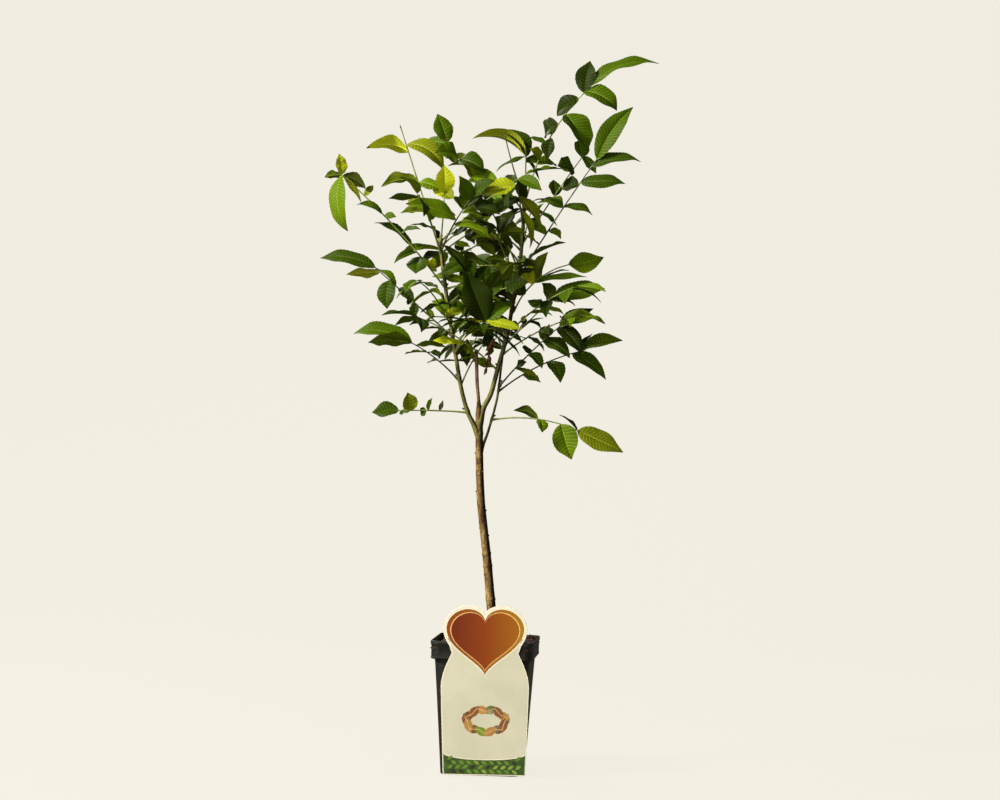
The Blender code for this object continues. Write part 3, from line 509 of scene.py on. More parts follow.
class Stalk:
    """A compound leaf's stalk: its middle line, and its own directions along it."""

    def __init__(self, leaf, turn, slide):
        self.leaf = leaf
        self.heading = leaf.heading + turn
        middle, upwards, radius = limb_at(LIMBS[leaf.limb], leaf.height - slide)
        level = direction(self.heading, 0)
        self.out = (level - level.dot(upwards) * upwards).normalized()
        self.face = middle + self.out * (radius + GAP)
        self.foot = middle
        self.line = [self.face]
        for step in range(STALK_STEPS):
            along = self.along((step + 0.5) / STALK_STEPS)
            self.line.append(self.line[-1] + along * leaf.length / STALK_STEPS)

    def along(self, share):
        return direction(self.heading, self.leaf.rise - self.leaf.drop * share)

    def at(self, share):
        place = min(max(share, 0.0), 1.0) * STALK_STEPS
        step = min(int(place), STALK_STEPS - 1)
        return self.line[step].lerp(self.line[step + 1], place - step)

    def side(self, share):
        level = direction(self.heading + 90, 0)
        return turned(level, self.along(share), self.leaf.roll)

    def rings(self, grow=0.0):
        """Its rings, the first one slid onto the limb's face, so that the foot fits it."""
        radii = [(STALK_THICK + (STALK_THIN - STALK_THICK) * i / STALK_STEPS) / 2 + grow
                 for i in range(STALK_STEPS + 1)]
        radii[0] *= STALK_FOOT_GROWTH
        rings = tube(self.line, radii, STALK_SIDES)
        along = self.along(0)
        for p in rings[0]:
            p += along * (self.face - p).dot(self.out) / along.dot(self.out)
        return rings


class Leaflet(NamedTuple):
    """One leaflet: its root, its direction, the side it spreads to, and its size and bend."""
    root: Vector
    along: Vector
    side: Vector
    length: float
    width: float
    bend: float


def blade_width(share):
    """A leaflet's half width at a share of its length, as a share of its widest."""
    return math.sin(math.pi * share ** 0.88) ** 0.72


def blade(leaflet, grow=0.0):
    """A leaflet as a closed blade: folded along its midrib, bent down towards its tip."""
    up = leaflet.along.cross(leaflet.side)
    sides = leaflet.side * (BLADE_ROOT + grow)
    depth = up * (BLADE_THICK / 2 + grow)
    root = leaflet.root - leaflet.along * BLADE_SINK
    rings = [[root + sides, root + depth, root - sides, root - depth]]
    middle = root
    before = 0.0
    stations = SMALL_STATIONS if leaflet.length < SMALL_BLADE else BLADE_STATIONS
    for share in stations + (1.0,):
        bend = leaflet.bend * (before + share) / 2
        middle = middle + turned(leaflet.along, leaflet.side, bend) * leaflet.length * (share - before)
        before = share
        if share == 1.0:
            break
        half = leaflet.width / 2 * blade_width(share) + grow
        normal = turned(up, leaflet.side, leaflet.bend * share)
        lift = normal * half * math.sin(math.radians(BLADE_FOLD))
        reach = leaflet.side * half * math.cos(math.radians(BLADE_FOLD))
        depth = normal * (BLADE_THICK / 2 + grow)
        rings.append([middle + reach + lift, middle + depth, middle - reach + lift, middle - depth])
    points, faces = skin(rings)
    faces.pop()
    tip = len(points)
    points.append(middle)
    faces += [(tip - 4 + s, tip - 4 + (s + 1) % 4, tip) for s in range(4)]
    return points, faces


class Space:
    """The shapes that have their place, which no later one may touch."""

    def __init__(self):
        self.trees = []

    def add(self, name, points, faces):
        self.trees.append((name, BVHTree.FromPolygons(points, faces)))

    def free(self, points, faces, besides=None):
        tree = BVHTree.FromPolygons(points, faces)
        return not any(tree.overlap(other) for name, other in self.trees if name != besides)


def place_stalk(leaf, space):
    """The leaf's stalk, turned or moved down its limb by the smallest step that clears."""
    for turn, slide in STALK_TRIES:
        stalk = Stalk(leaf, turn, slide)
        grown = stalk.rings(GAP)
        if space.free(*skin(grown[1:])) and space.free(*skin(grown), besides=leaf.limb):
            return stalk
    return None


def leaflet_spots(leaf):
    """Where the leaflets leave the stalk: share of its length, side and size."""
    pairs = len(leaf.left)
    last = LAST_PAIR if leaf.end else BARE_LAST_PAIR
    for pair in range(pairs):
        share = FIRST_PAIR + (last - FIRST_PAIR) * pair / (pairs - 1)
        for side, size in ((1, leaf.left[pair]), (-1, leaf.right[pair])):
            if size:
                yield share + 0.012 * side, side, size
    if leaf.end:
        yield 1.0, 0, leaf.end


def leaflet_try(stalk, share, side, size, wander, change):
    """One way to set a leaflet: splayed from the stalk, then hung towards the ground."""
    along = stalk.along(share)
    across = stalk.side(share)
    face = along.cross(across)
    lean, twist = change
    splay = side * (SPLAY + wander[0] + lean / 2)
    aim = turned(along, face, splay)
    spread = turned(across, face, splay)
    hang = (stalk.leaf.hang + wander[1] if side else stalk.leaf.nod) + lean
    down = aim.cross(Vector((0, 0, -1)))
    if down.length > 0.05:
        aim = turned(aim, down, hang)
        spread = turned(spread, down, hang)
    spread = turned(spread, aim, wander[2] + twist)
    root = stalk.at(share) - along * (0 if side else END_SINK)
    length = size * (1 + wander[3])
    return Leaflet(root, aim, spread, length, BLADE_WIDTH + length * BLADE_WIDENING, BLADE_BEND + wander[4])


def seen_leaflet(stalk, seen, change):
    """A leaflet set by its root and tip, with its face turned and its middle arched as it shows."""
    root = stalk.at(seen.at) - stalk.along(seen.at) * (END_SINK if seen.at == 1 else 0)
    aim = math.radians(seen.aim)
    reach = Vector((seen.length * math.cos(aim), seen.depth + change[1], seen.length * math.sin(aim)))
    chord = reach.normalized()
    front = (Vector((0, -1, 0)) + chord * chord.y).normalized()
    top = chord.cross(front)
    if top.z < 0:
        top = -top
    roll = math.radians(seen.roll + change[0])
    side = (top * math.cos(roll) + front * math.sin(roll)).cross(chord)
    half = math.radians(seen.bend / 2)
    length = reach.length * half / math.sin(half)
    return Leaflet(root, turned(chord, side, -seen.bend / 2), side, length, seen.width, seen.bend)


def leaflet_ways(stalk):
    """For each leaflet its side or its shade, and the ways to set it with the wanted one first."""
    for seen in (Seen(*row) for row in SEEN.get(stalk.leaf.name, ())):
        yield None, seen.shade, [seen_leaflet(stalk, seen, change) for change in SEEN_TRIES]
    rnd = random.Random(stalk.leaf.name)
    for share, side, size in leaflet_spots(stalk.leaf):
        wander = (rnd.uniform(-9, 9), rnd.uniform(-9, 9), rnd.uniform(-16, 16),
                  rnd.uniform(-0.06, 0.06), rnd.uniform(-14, 14))
        ways = [leaflet_try(stalk, share, side, size, wander, change) for change in LEAFLET_TRIES]
        yield side, None, ways


def place_leaflets(stalk, space):
    """The leaf's leaflets, each in the first way that clears its neighbours, with side and shade."""
    placed = []
    for side, shade, ways in leaflet_ways(stalk):
        for leaflet in ways:
            if space.free(*blade(leaflet, GAP)):
                placed.append((side, shade, leaflet))
                break
    return placed


def below_tip(limb, height):
    """The height, or the highest place on the limb that still carries a leaf."""
    return min(height, LIMBS[limb].line[-1][2] - TIP_CLEARANCE)


def round_leaves():
    """The leaves on the sides that the front hides, by a turn that never repeats."""
    rnd = random.Random("round the crown")
    for k in range(ROUND_COUNT):
        limb = ROUND_LIMBS[k % len(ROUND_LIMBS)]
        share = (k + 0.5) / ROUND_COUNT
        height = ROUND_LOW + (ROUND_HIGH - ROUND_LOW) * share
        heading = ROUND_FIRST + ROUND_TURN * k
        length = rnd.uniform(120, 165)
        size = rnd.uniform(42, 50)
        sizes = tuple(size * (0.72 + 0.16 * pair) for pair in range(3))
        yield Leaf(f"foliage_round_{k + 1}", limb, below_tip(limb, height), heading % 360,
                   rnd.uniform(32, 52), rnd.uniform(14, 30), length, rnd.uniform(-25, 25), HANG,
                   sizes, sizes, size * 1.4, rnd.uniform(-6, 10))


def inner_leaves():
    """Smaller leaves between the boughs, which make the inside of the crown dense."""
    rnd = random.Random("inside the crown")
    for k in range(INNER_COUNT):
        limb = INNER_LIMBS[k % len(INNER_LIMBS)]
        height = INNER_LOW + (INNER_HIGH - INNER_LOW) * (k + 0.5) / INNER_COUNT
        size = rnd.uniform(30, 42)
        sizes = tuple(size * (0.8 + 0.15 * pair) for pair in range(3))
        inwards = 0 if limb == "bough_left" else 180
        swing = ((INNER_FIRST + ROUND_TURN * k) % 360 - 180) / 180 * INNER_SPREAD
        yield Leaf(f"inner_{k + 1}", limb, below_tip(limb, height), (inwards + swing) % 360,
                   rnd.uniform(20, 60), rnd.uniform(10, 50), rnd.uniform(56, 96), rnd.uniform(-60, 60), HANG,
                   sizes, sizes, size * 1.4, rnd.uniform(-6, 16))


def grow_leaves():
    """Every stalk with its leaflets, in the order and by the tests that the solids used."""
    space = Space()
    space.add("trunk", *skin(trunk_rings(TRUNK_SIDES, TRUNK_RINGS)))
    for name, limb in LIMBS.items():
        space.add(name, *skin(limb_rings(limb)))
    grown = []
    for leaf in LEAVES + tuple(round_leaves()) + tuple(inner_leaves()):
        stalk = place_stalk(leaf, space)
        if stalk is None:
            continue
        leaflets = place_leaflets(stalk, space)
        for *_, leaflet in leaflets:
            space.add(leaf.name, *blade(leaflet))
        space.add(leaf.name, *skin(stalk.rings()))
        grown.append((stalk, leaflets))
    return grown


# Pieces and finishes

class Shape:
    """Points, faces and each face's finish, gathered for one piece."""

    def __init__(self):
        self.points = []
        self.faces = []
        self.finishes = []

    def add(self, points, faces, finish=0):
        start = len(self.points)
        self.points += points
        self.faces += [tuple(start + i for i in face) for face in faces]
        self.finishes += [finish] * len(faces)


def put(name, data):
    """A new object in the scene."""
    made = bpy.data.objects.new(name, data)
    bpy.context.scene.collection.objects.link(made)
    return made


def piece(name, shape, finishes, nodes=(), turn=0.0, crease=40.0):
    """A piece of the looks: a named object in metres that rides with the plant."""
    frame_turn = Matrix.Rotation(math.radians(turn), 3, "Z")
    mesh = bpy.data.meshes.new(name)
    mesh.from_pydata([frame_turn @ p * MM for p in shape.points], [], shape.faces)
    for finish in finishes:
        mesh.materials.append(finish.material)
    mesh.polygons.foreach_set("material_index", shape.finishes)
    mesh.update()
    mesh.shade_smooth()
    mesh.set_sharp_from_angle(angle=math.radians(crease))
    made = put(name, mesh)
    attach(made, "root")
    if nodes:
        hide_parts(*nodes)


def tone(red, green, blue):
    """A colour of the usual 0 to 255 scale as linear light."""
    shares = (value / 255 for value in (red, green, blue))
    return (*(v / 12.92 if v <= 0.04045 else ((v + 0.055) / 1.055) ** 2.4 for v in shares), 1.0)


class Finish:
    """A material whose nodes are added one by one; its colours are on the 0 to 255 scale."""

    def __init__(self, name, roughness, colour=None, specular=0.5):
        self.material = bpy.data.materials.new(name)
        self.material.use_nodes = True
        self.tree = self.material.node_tree
        self.shader = self.tree.nodes["Principled BSDF"]
        self.shader.inputs["Roughness"].default_value = roughness
        self.shader.inputs["Specular IOR Level"].default_value = specular
        if colour:
            self.shader.inputs["Base Color"].default_value = tone(*colour)

    def node(self, kind, **settings):
        made = self.tree.nodes.new(kind)
        for key, value in settings.items():
            if key in made.inputs:
                made.inputs[key].default_value = value
            else:
                setattr(made, key, value)
        return made

    def link(self, out, into):
        self.tree.links.new(out, into)

    def grain(self, scale, detail=4.0, roughness=0.6, stretch=(1, 1, 1)):
        """Noise on the object's own coordinates, stretched along its axes."""
        place = self.node("ShaderNodeTexCoord")
        mapping = self.node("ShaderNodeMapping", Scale=stretch)
        grain = self.node("ShaderNodeTexNoise", Scale=scale, Detail=detail, Roughness=roughness)
        self.link(place.outputs["Object"], mapping.inputs["Vector"])
        self.link(mapping.outputs["Vector"], grain.inputs["Vector"])
        return grain.outputs["Fac"]

    def ramp(self, value, *stops):
        """A run of colours along a value, each stop with its place and its colour."""
        made = self.node("ShaderNodeValToRGB")
        elements = made.color_ramp.elements
        for element, (place, *colour) in zip(elements, (stops[0], stops[-1])):
            element.position = place
            element.color = tone(*colour)
        for place, *colour in stops[1:-1]:
            elements.new(place).color = tone(*colour)
        self.link(value, made.inputs["Fac"])
        return made.outputs["Color"]

    def span(self, kind, low, high):
        """How far the object's X, or its normal's, has gone from low to high."""
        place = self.node("ShaderNodeTexCoord")
        split = self.node("ShaderNodeSeparateXYZ")
        amount = self.node("ShaderNodeMapRange", **{"From Min": low, "From Max": high})
        self.link(place.outputs[kind], split.inputs["Vector"])
        self.link(split.outputs["X"], amount.inputs["Value"])
        return amount.outputs["Result"]

    def paint(self, colour):
        self.link(colour, self.shader.inputs["Base Color"])
        return self

    def mottle(self, grain, *stops, painted_shade=None):
        """Paint it in a grain's run of colours, and with painted shade: a darker colour where it faces
        right, away from the key light.
        """
        colour = self.ramp(self.grain(*grain), *stops)
        if painted_shade:
            # Painted shade: blend towards the dark colour as the normal turns to the right
            mix = self.node("ShaderNodeMix", data_type="RGBA")
            self.link(self.span("Normal", *PAINTED_SHADE_SIDE), mix.inputs[0])
            self.link(colour, mix.inputs[6])
            mix.inputs[7].default_value = tone(*painted_shade)
            colour = mix.outputs[2]
        return self.paint(colour)

    def bump(self, grain, strength, distance):
        bump = self.node("ShaderNodeBump", Strength=strength, Distance=distance)
        self.link(self.grain(*grain), bump.inputs["Height"])
        self.link(bump.outputs["Normal"], self.shader.inputs["Normal"])
        return self

    def let_through(self, colour, share):
        """Let some light through the sheet, in its own colour."""
        through = self.node("ShaderNodeBsdfTranslucent", Color=tone(*colour))
        mix = self.node("ShaderNodeMixShader", Fac=share)
        self.link(self.shader.outputs["BSDF"], mix.inputs[1])
        self.link(through.outputs["BSDF"], mix.inputs[2])
        self.link(mix.outputs["Shader"], self.tree.nodes["Material Output"].inputs["Surface"])


# The leaves' colours, from the darkest to a yellowing one: above, veins above, below, light through
SHADES = (
    ((40, 54, 3), (56, 72, 10), (72, 76, 18), (84, 104, 4)),
    ((56, 77, 4), (74, 96, 13), (88, 95, 22), (106, 130, 5)),
    ((77, 102, 5), (97, 122, 16), (104, 112, 26), (128, 152, 6)),
    ((101, 127, 8), (122, 147, 24), (122, 129, 32), (150, 172, 9)),
    ((126, 136, 14), (148, 158, 36), (136, 140, 38), (160, 168, 12)),
    ((165, 176, 20), (184, 192, 52), (166, 170, 46), (188, 194, 18)),
    ((206, 212, 20), (220, 224, 64), (200, 204, 40), (212, 220, 18)),
)
THROUGH = 0.42
DRY_SHARE = 0.4

# For a leaf grown by rule, the darkest and lightest shade of its side leaflets and its end one's
RULE_SHADES = {"foliage_middle_1": (1, 5, 3), "foliage_middle_7": (0, 2, 3)}
DARK_STALKS = ("foliage_left_2", "foliage_left_3", "foliage_right_2", "foliage_right_3", "foliage_right_6",
               "foliage_top_2", "foliage_left_7", "foliage_middle_3")
# Painted shade on the bark: the span of the normal's X over which it turns to the dark colour on the right,
# the side away from the key light
PAINTED_SHADE_SIDE = (-0.15, 0.55)


def leaf_finishes(number):
    """A shade's finishes: above, veins above, below, veins below and the dry tips."""
    above, vein, below, through = SHADES[number]
    made = []
    for part, colour, roughness in (("above", above, 0.5), ("vein", vein, 0.5), ("below", below, 0.65),
                                    ("rib", vein, 0.65)):
        finish = Finish(f"leaf_{number}_{part}", roughness, colour, 0.09)
        if part in ("above", "below"):
            finish.bump((700.0, 2.0), 0.08, 0.0003).let_through(through, THROUGH)
        made.append(finish)
    return made + [Finish(f"leaf_{number}_dry", 0.8, (74, 50, 22), 0.3).bump((700.0,), 0.4, 0.0006)]


# Leaves in full

def outline(share):
    """A leaflet's half width with its drawn-out tip, as a share of its widest."""
    width = math.sin(math.pi * min(share, 1.0) ** 0.84) ** 0.8
    tip = min(max((share - 0.72) / 0.28, 0.0), 1.0)
    return width * (1 - 0.42 * tip)


def vein_rows(length):
    """The rows of points along the midrib: share of the length and kind."""
    count = max(5, round(length / VEIN_SPACING))
    yield 0.035, "end"
    for k in range(count):
        for part, kind in VEIN_ROWS:
            yield 0.07 + 0.88 * (k + part) / count, kind
    yield 0.965, "end"


def fine_blade(shape, leaflet, rnd):
    """A leaflet with teeth, veins above and below, a fold, waves and a turned-down tip."""
    length = leaflet.length
    up = leaflet.along.cross(leaflet.side)
    widest = leaflet.width / 2 * rnd.uniform(0.92, 1.02)
    twist = math.radians(rnd.uniform(-26, 26))
    fold = math.radians(BLADE_FOLD + rnd.uniform(-6, 9))
    wave = rnd.uniform(0.06, 0.17)
    waves = rnd.uniform(1.2, 2.4)
    phase = rnd.uniform(0, 2 * math.pi)
    tip_curl = rnd.uniform(-0.2, 0.6)
    edge_roll = rnd.uniform(-0.05, 0.25)
    sickle = rnd.uniform(-0.05, 0.05) * length
    bend = math.radians(leaflet.bend if abs(leaflet.bend) > LEAST_BEND else LEAST_BEND)
    dry = rnd.random() < DRY_SHARE
    start = len(shape.points)
    rows = list(vein_rows(length))

    def spine(share):
        turn = bend * share
        middle = leaflet.root + (leaflet.along * math.sin(turn) - up * (1 - math.cos(turn))) * length / bend
        normal = up * math.cos(turn) + leaflet.along * math.sin(turn)
        middle += leaflet.side * sickle * math.sin(math.pi * share)
        side = leaflet.side * math.cos(twist * share) + normal * math.sin(twist * share)
        normal = normal * math.cos(twist * share) - leaflet.side * math.sin(twist * share)
        return middle, side, normal

    def point(share, kind, across, layer):
        reach = abs(across)
        place = share + CHEVRON * reach * share * (1 - share)
        middle, side, normal = spine(place)
        half = max(widest * outline(place), 0.5)
        if reach == 1.0:
            half += TEETH[kind] * min(half / 6, 1.0) * tooth
        ripple = math.sin(2 * math.pi * waves * place + phase + (across > 0) * 2.1)
        height = half * reach * math.sin(fold) - half * edge_roll * reach ** 3
        height += half * wave * reach ** 2 * ripple
        height -= length * tip_curl * max(place - CURL_START, 0.0) ** 2
        if across == 0.0:
            height += -MIDRIB_DEPTH / 2 if layer > 0 else -MIDRIB_DEPTH
        elif reach < 1.0:
            sunk = -VEIN_DEPTH if kind in ("vein", "after") else VEIN_DEPTH
            height += sunk * min(half / 9, 1.0) + layer * SHEET_THICK / 2
        return middle + side * across * half * math.cos(fold) + normal * height

    shape.points.append(leaflet.root - leaflet.along * 0.5)
    for share, kind in rows:
        tooth = rnd.uniform(0.5, 1.4)
        shape.points += [point(share, kind, across, 1) for across in COLUMNS]
        shape.points += [point(share, kind, across, -1) for across in COLUMNS[1:-1]]
    middle, _, normal = spine(1.0)
    shape.points.append(middle - normal * length * tip_curl * CURL_SPAN ** 2)
    last = len(COLUMNS) - 1
    stride = 2 * last
    end = len(rows) - 1
    tip = start + 1 + stride * len(rows)

    def top(row, column):
        return start + 1 + row * stride + column

    def under(row, column):
        return top(row, column) if column in (0, last) else top(row, last + column)

    for a in range(last):
        b = a + 1
        rib = a in (last // 2 - 1, last // 2)
        shape.faces += [(start, top(0, a), top(0, b)), (start, under(0, b), under(0, a))]
        shape.finishes += [1, 3]
        for row in range(end):
            vein = rib or rows[row][1] == "vein"
            worn = dry and rows[row][0] > WORN_FROM
            shape.faces.append((top(row, a), top(row + 1, a), top(row + 1, b), top(row, b)))
            shape.faces.append((under(row, b), under(row + 1, b), under(row + 1, a), under(row, a)))
            shape.finishes += [4, 4] if worn else [1, 3] if vein else [0, 2]
        shape.faces += [(top(end, a), tip, top(end, b)), (under(end, b), tip, under(end, a))]
        shape.finishes += [4, 4]


def fine_stalk(shape, stalk, tip_shape):
    """A leaf's stalk from inside the limb to its end, swollen at its foot."""
    line = smooth_line([stalk.foot + stalk.out * 0.6] + stalk.line, FULL_STEPS)
    radii = []
    length = 0.0
    for i, p in enumerate(line):
        length += (p - line[max(i - 1, 0)]).length
        swell = 1.1 * math.exp(-max(length - 2.0, 0.0) / 5.0)
        radii.append(0.5 * (FULL_THICK + (FULL_THIN - FULL_THICK) * (i / FULL_STEPS)) + swell)
    if stalk.leaf.end:
        line = line[:-1]
        radii = radii[:-1]
    shape.add(*skin(tube(line, radii, 8)))
    if not stalk.leaf.end:
        along = (line[-1] - line[-2]).normalized()
        bud(tip_shape, line[-1] - along, along, 1.0, 6.0)


def bud(shape, foot, along, radius, length):
    """A small pointed bud."""
    stations = ((0.0, 0.55), (0.15, 0.9), (0.35, 1.0), (0.6, 0.78), (0.82, 0.42), (1.0, 0.08))
    line = [foot + along * length * place for place, _ in stations]
    shape.add(*skin(tube(line, [radius * width for _, width in stations], 8)))


def make_leaves():
    """All the leaves, in a piece for each shade, and their stalks."""
    shades = [Shape() for _ in SHADES]
    stood_for = [set() for _ in SHADES]
    stalks = {"light": Shape(), "dark": Shape()}
    nodes = {"light": [], "dark": []}
    buds = Shape()
    for stalk, leaflets in grow_leaves():
        name = stalk.leaf.name
        solid = not name.startswith("inner")
        rnd = random.Random(name + " in full")
        low, high, end = RULE_SHADES.get(name, (0, 3, rnd.randint(1, 3)))
        for side, shade, leaflet in leaflets:
            if shade is None:
                shade = rnd.randint(low, high) if side else end
            fine_blade(shades[shade], leaflet, rnd)
            if solid:
                stood_for[shade].add(name)
        kind = "dark" if name in DARK_STALKS else "light"
        fine_stalk(stalks[kind], stalk, buds)
        if solid:
            nodes[kind].append(name)
        _, upwards, radius = limb_at(LIMBS[stalk.leaf.limb], stalk.face.z)
        bud(buds, stalk.foot + stalk.out * (radius - 0.6) + upwards * 4.5,
            (stalk.out + upwards * 1.1).normalized(), 1.5, 4.5)
    for number, shape in enumerate(shades):
        if shape.faces:
            piece(f"leaflets_{number + 1}", shape, leaf_finishes(number),
                  sorted(stood_for[number]))
    light = Finish("stalk_light", 0.5, (128, 138, 52))
    light.mottle((60.0,), (0.35, 96, 112, 40), (0.7, 146, 154, 66))
    dark = Finish("stalk_dark", 0.55, (62, 58, 30))
    dark.mottle((60.0,), (0.35, 46, 42, 24), (0.7, 84, 82, 38))
    brown = Finish("bud_brown", 0.7, (58, 44, 26))
    brown.mottle((300.0,), (0.3, 40, 30, 18), (0.7, 86, 68, 38))
    piece("stalks_light", stalks["light"], [light], nodes["light"])
    piece("stalks_dark", stalks["dark"], [dark], nodes["dark"])
    piece("buds", buds, [brown])


# Trunk and boughs

TRUNK_KNOBS = ((464, 188), (407, 176), (354, 200), (342, 30), (380, 20), (438, 320), (286, 200), (262, 60))
TRUNK_BANDS = (319, 301, 496, 252)
TRUNK_POINTS = 300
TRUNK_FULL_SIDES = 48
TRUNK_PORES = 230
TRUNK_SINK = 2.5
BAND_SWELL = 0.8
BAND_REACH = 1.8
BOUGH_POINTS = 220
BOUGH_FULL_SIDES = 36
BOUGH_PORES = 70
COLLAR_SWELL = 0.42
COLLAR_REACH = 22
NODE_SWELL = 0.55
NODE_REACH = 3.2
STUB_LOW = 560


def relief(p, scale, stretch):
    """Bark noise at a point, drawn out along the stem."""
    return noise.fractal(Vector((p.x, p.y, p.z / stretch)) / scale, 0.9, 2.0, 5)


def bark_skin(shape, line, rings, depth, scale):
    """A stem's skin with the bark's ridges and pits in it."""
    for middle, ring in zip(line, rings):
        for p in ring:
            out = (p - middle).normalized()
            p += out * depth * (relief(p, scale, 4.0) + 0.5 * relief(p * 1.7, scale * 0.35, 1.0))
    shape.add(*skin(rings))


def scar(shape, centre, ring, out, sink, rise, shrink):
    """A low scar on the bark over a ring of points about its centre."""
    foot = [p - out * sink for p in ring]
    shape.add(*skin([foot, ring, [p + out * rise + (centre - p) * shrink for p in ring]]))


def make_trunk():
    """The trunk with its bark, the rings of old growth, scars and pores."""
    line = smooth_line(TRUNK_LINE, TRUNK_POINTS)
    rings = trunk_rings(TRUNK_FULL_SIDES, TRUNK_POINTS)
    for middle, ring in zip(line, rings):
        for height in TRUNK_BANDS:
            swell = BAND_SWELL * math.exp(-((middle.z - height) / BAND_REACH) ** 2)
            for p in ring:
                p += (p - middle).normalized() * swell
    for p in rings[0]:
        p.z -= TRUNK_SINK
    trunk = Shape()
    bark_skin(trunk, line, rings, 0.22, 3.2)
    pores = Shape()
    rnd = random.Random("pores")
    for _ in range(TRUNK_PORES):
        height = rnd.uniform(TRUNK_FOOT + 12, 604)
        out = direction(rnd.uniform(0, 360), 0)
        size = rnd.uniform(0.35, 0.75)
        centre = min(line, key=lambda p: abs(p.z - height)) + out * (trunk_radius(height) + 0.02)
        across = Vector((-out.y, out.x, 0))
        ring = [centre + across * math.cos(t) * size * 1.5 + Vector((0, 0, math.sin(t) * size * 0.7))
                for t in around(8)]
        scar(pores, centre, ring, out, 0.6, 0.22, 0.4)
    for height, heading in TRUNK_KNOBS:
        out = direction(heading, 24)
        middle = min(line, key=lambda p: abs(p.z - height))
        bud(pores, middle + out * (trunk_radius(height) - 1.4), out, 1.9, 3.8)
    # The bark gets painted shade: it turns darker towards its right side, away from the key light
    bark = Finish("trunk_bark", 0.75, None, 0.2).bump((520.0, 5.0, 0.7, (1, 1, 0.3)), 0.5, 0.0012)
    bark.mottle((150.0, 7.0, 0.75, (1, 1, 0.4)), (0.36, 42, 22, 8), (0.5, 114, 86, 44),
                (0.68, 190, 160, 100), painted_shade=(22, 12, 5))
    piece("trunk_bark", trunk, [bark], ["trunk"])
    brown = Finish("pore_tan", 0.85).mottle((400.0,), (0.35, 58, 36, 16), (0.7, 118, 90, 52))
    piece("trunk_pores", pores, [brown])


def make_leader():
    """The dry, reddish end of the pruned leader, with its dark cut."""
    stub = [p for p in smooth_line(TRUNK_LINE, TRUNK_POINTS) if p.z > STUB_LOW]
    half = LEADER_THICK / 2
    shape = Shape()
    rings = tube(stub, [half + 0.22] * len(stub), 28)
    rings[0] = [p + (stub[0] - p) * 0.3 for p in rings[0]]
    bark_skin(shape, stub, rings, 0.25, 2.2)
    red = Finish("leader_bark", 0.8).mottle((260.0, 5.0, 0.7, (1, 1, 0.25)), (0.3, 62, 34, 24),
                                            (0.55, 118, 78, 56), (0.8, 160, 122, 92))
    piece("leader_bark", shape, [red])
    cut = Shape()
    tip = stub[-1]
    along = (stub[-1] - stub[-4]).normalized()
    cut.add(*skin(tube([tip - along * 5, tip - along * 1.5, tip + along * 0.5, tip + along * 1.2],
                       [half + 0.2, half + 0.5, half + 0.2, 1.2], 20)))
    dark = Finish("cut_dark", 0.9, (44, 30, 22)).bump((600.0,), 0.6, 0.001)
    piece("leader_cut", cut, [dark])


def make_boughs():
    """The boughs with smooth green bark, swollen where they leave the trunk and at their nodes."""
    # The bark gets painted shade: it turns darker towards its right side, away from the key light
    green = Finish("bough_bark", 0.6, None, 0.25).bump((480.0, 4.0, 0.6, (1, 1, 0.4)), 0.35, 0.0008)
    green.mottle((190.0, 5.0, 0.65, (1, 1, 0.25)), (0.3, 64, 62, 26), (0.52, 112, 108, 48),
                 (0.78, 156, 146, 80), painted_shade=(26, 24, 10))
    rnd = random.Random("bough pores")
    pale = Shape()
    for name, limb in LIMBS.items():
        line = smooth_line(limb.line, BOUGH_POINTS)
        nodes = [leaf.height for leaf in LEAVES if leaf.limb == name]
        radii = []
        for i, p in enumerate(line):
            radius = (limb.thick + (limb.thin - limb.thick) * i / BOUGH_POINTS) / 2
            radius += COLLAR_SWELL * radius * math.exp(-((p - line[0]).length / COLLAR_REACH) ** 2)
            radius += sum(NODE_SWELL * math.exp(-((p.z - h) / NODE_REACH) ** 2) for h in nodes)
            radii.append(radius)
        shape = Shape()
        bark_skin(shape, line, tube(line, radii, BOUGH_FULL_SIDES), 0.14, 3.0)
        piece(name + "_bark", shape, [green], [name])
        for _ in range(BOUGH_PORES):
            i = rnd.randint(20, BOUGH_POINTS - 2)
            along = (line[i + 1] - line[i - 1]).normalized()
            out = along.cross(direction(rnd.uniform(0, 360), rnd.uniform(-30, 30))).normalized()
            centre = line[i] + out * radii[i]
            size = rnd.uniform(0.22, 0.45)
            across = along.cross(out)
            ring = [centre + across * math.cos(t) * size + along * math.sin(t) * size * 1.7
                    for t in around(6)]
            scar(pale, centre, ring, out, 0.5, 0.18, 0.5)
        along = (line[-1] - line[-3]).normalized()
        bud(pale, line[-1] - along * 1.5, along, radii[-1] * 0.95, 7.0)
    light = Finish("bough_pore", 0.8, (150, 138, 92)).bump((500.0,), 0.3, 0.0006)
    piece("bough_pores", pale, [light])


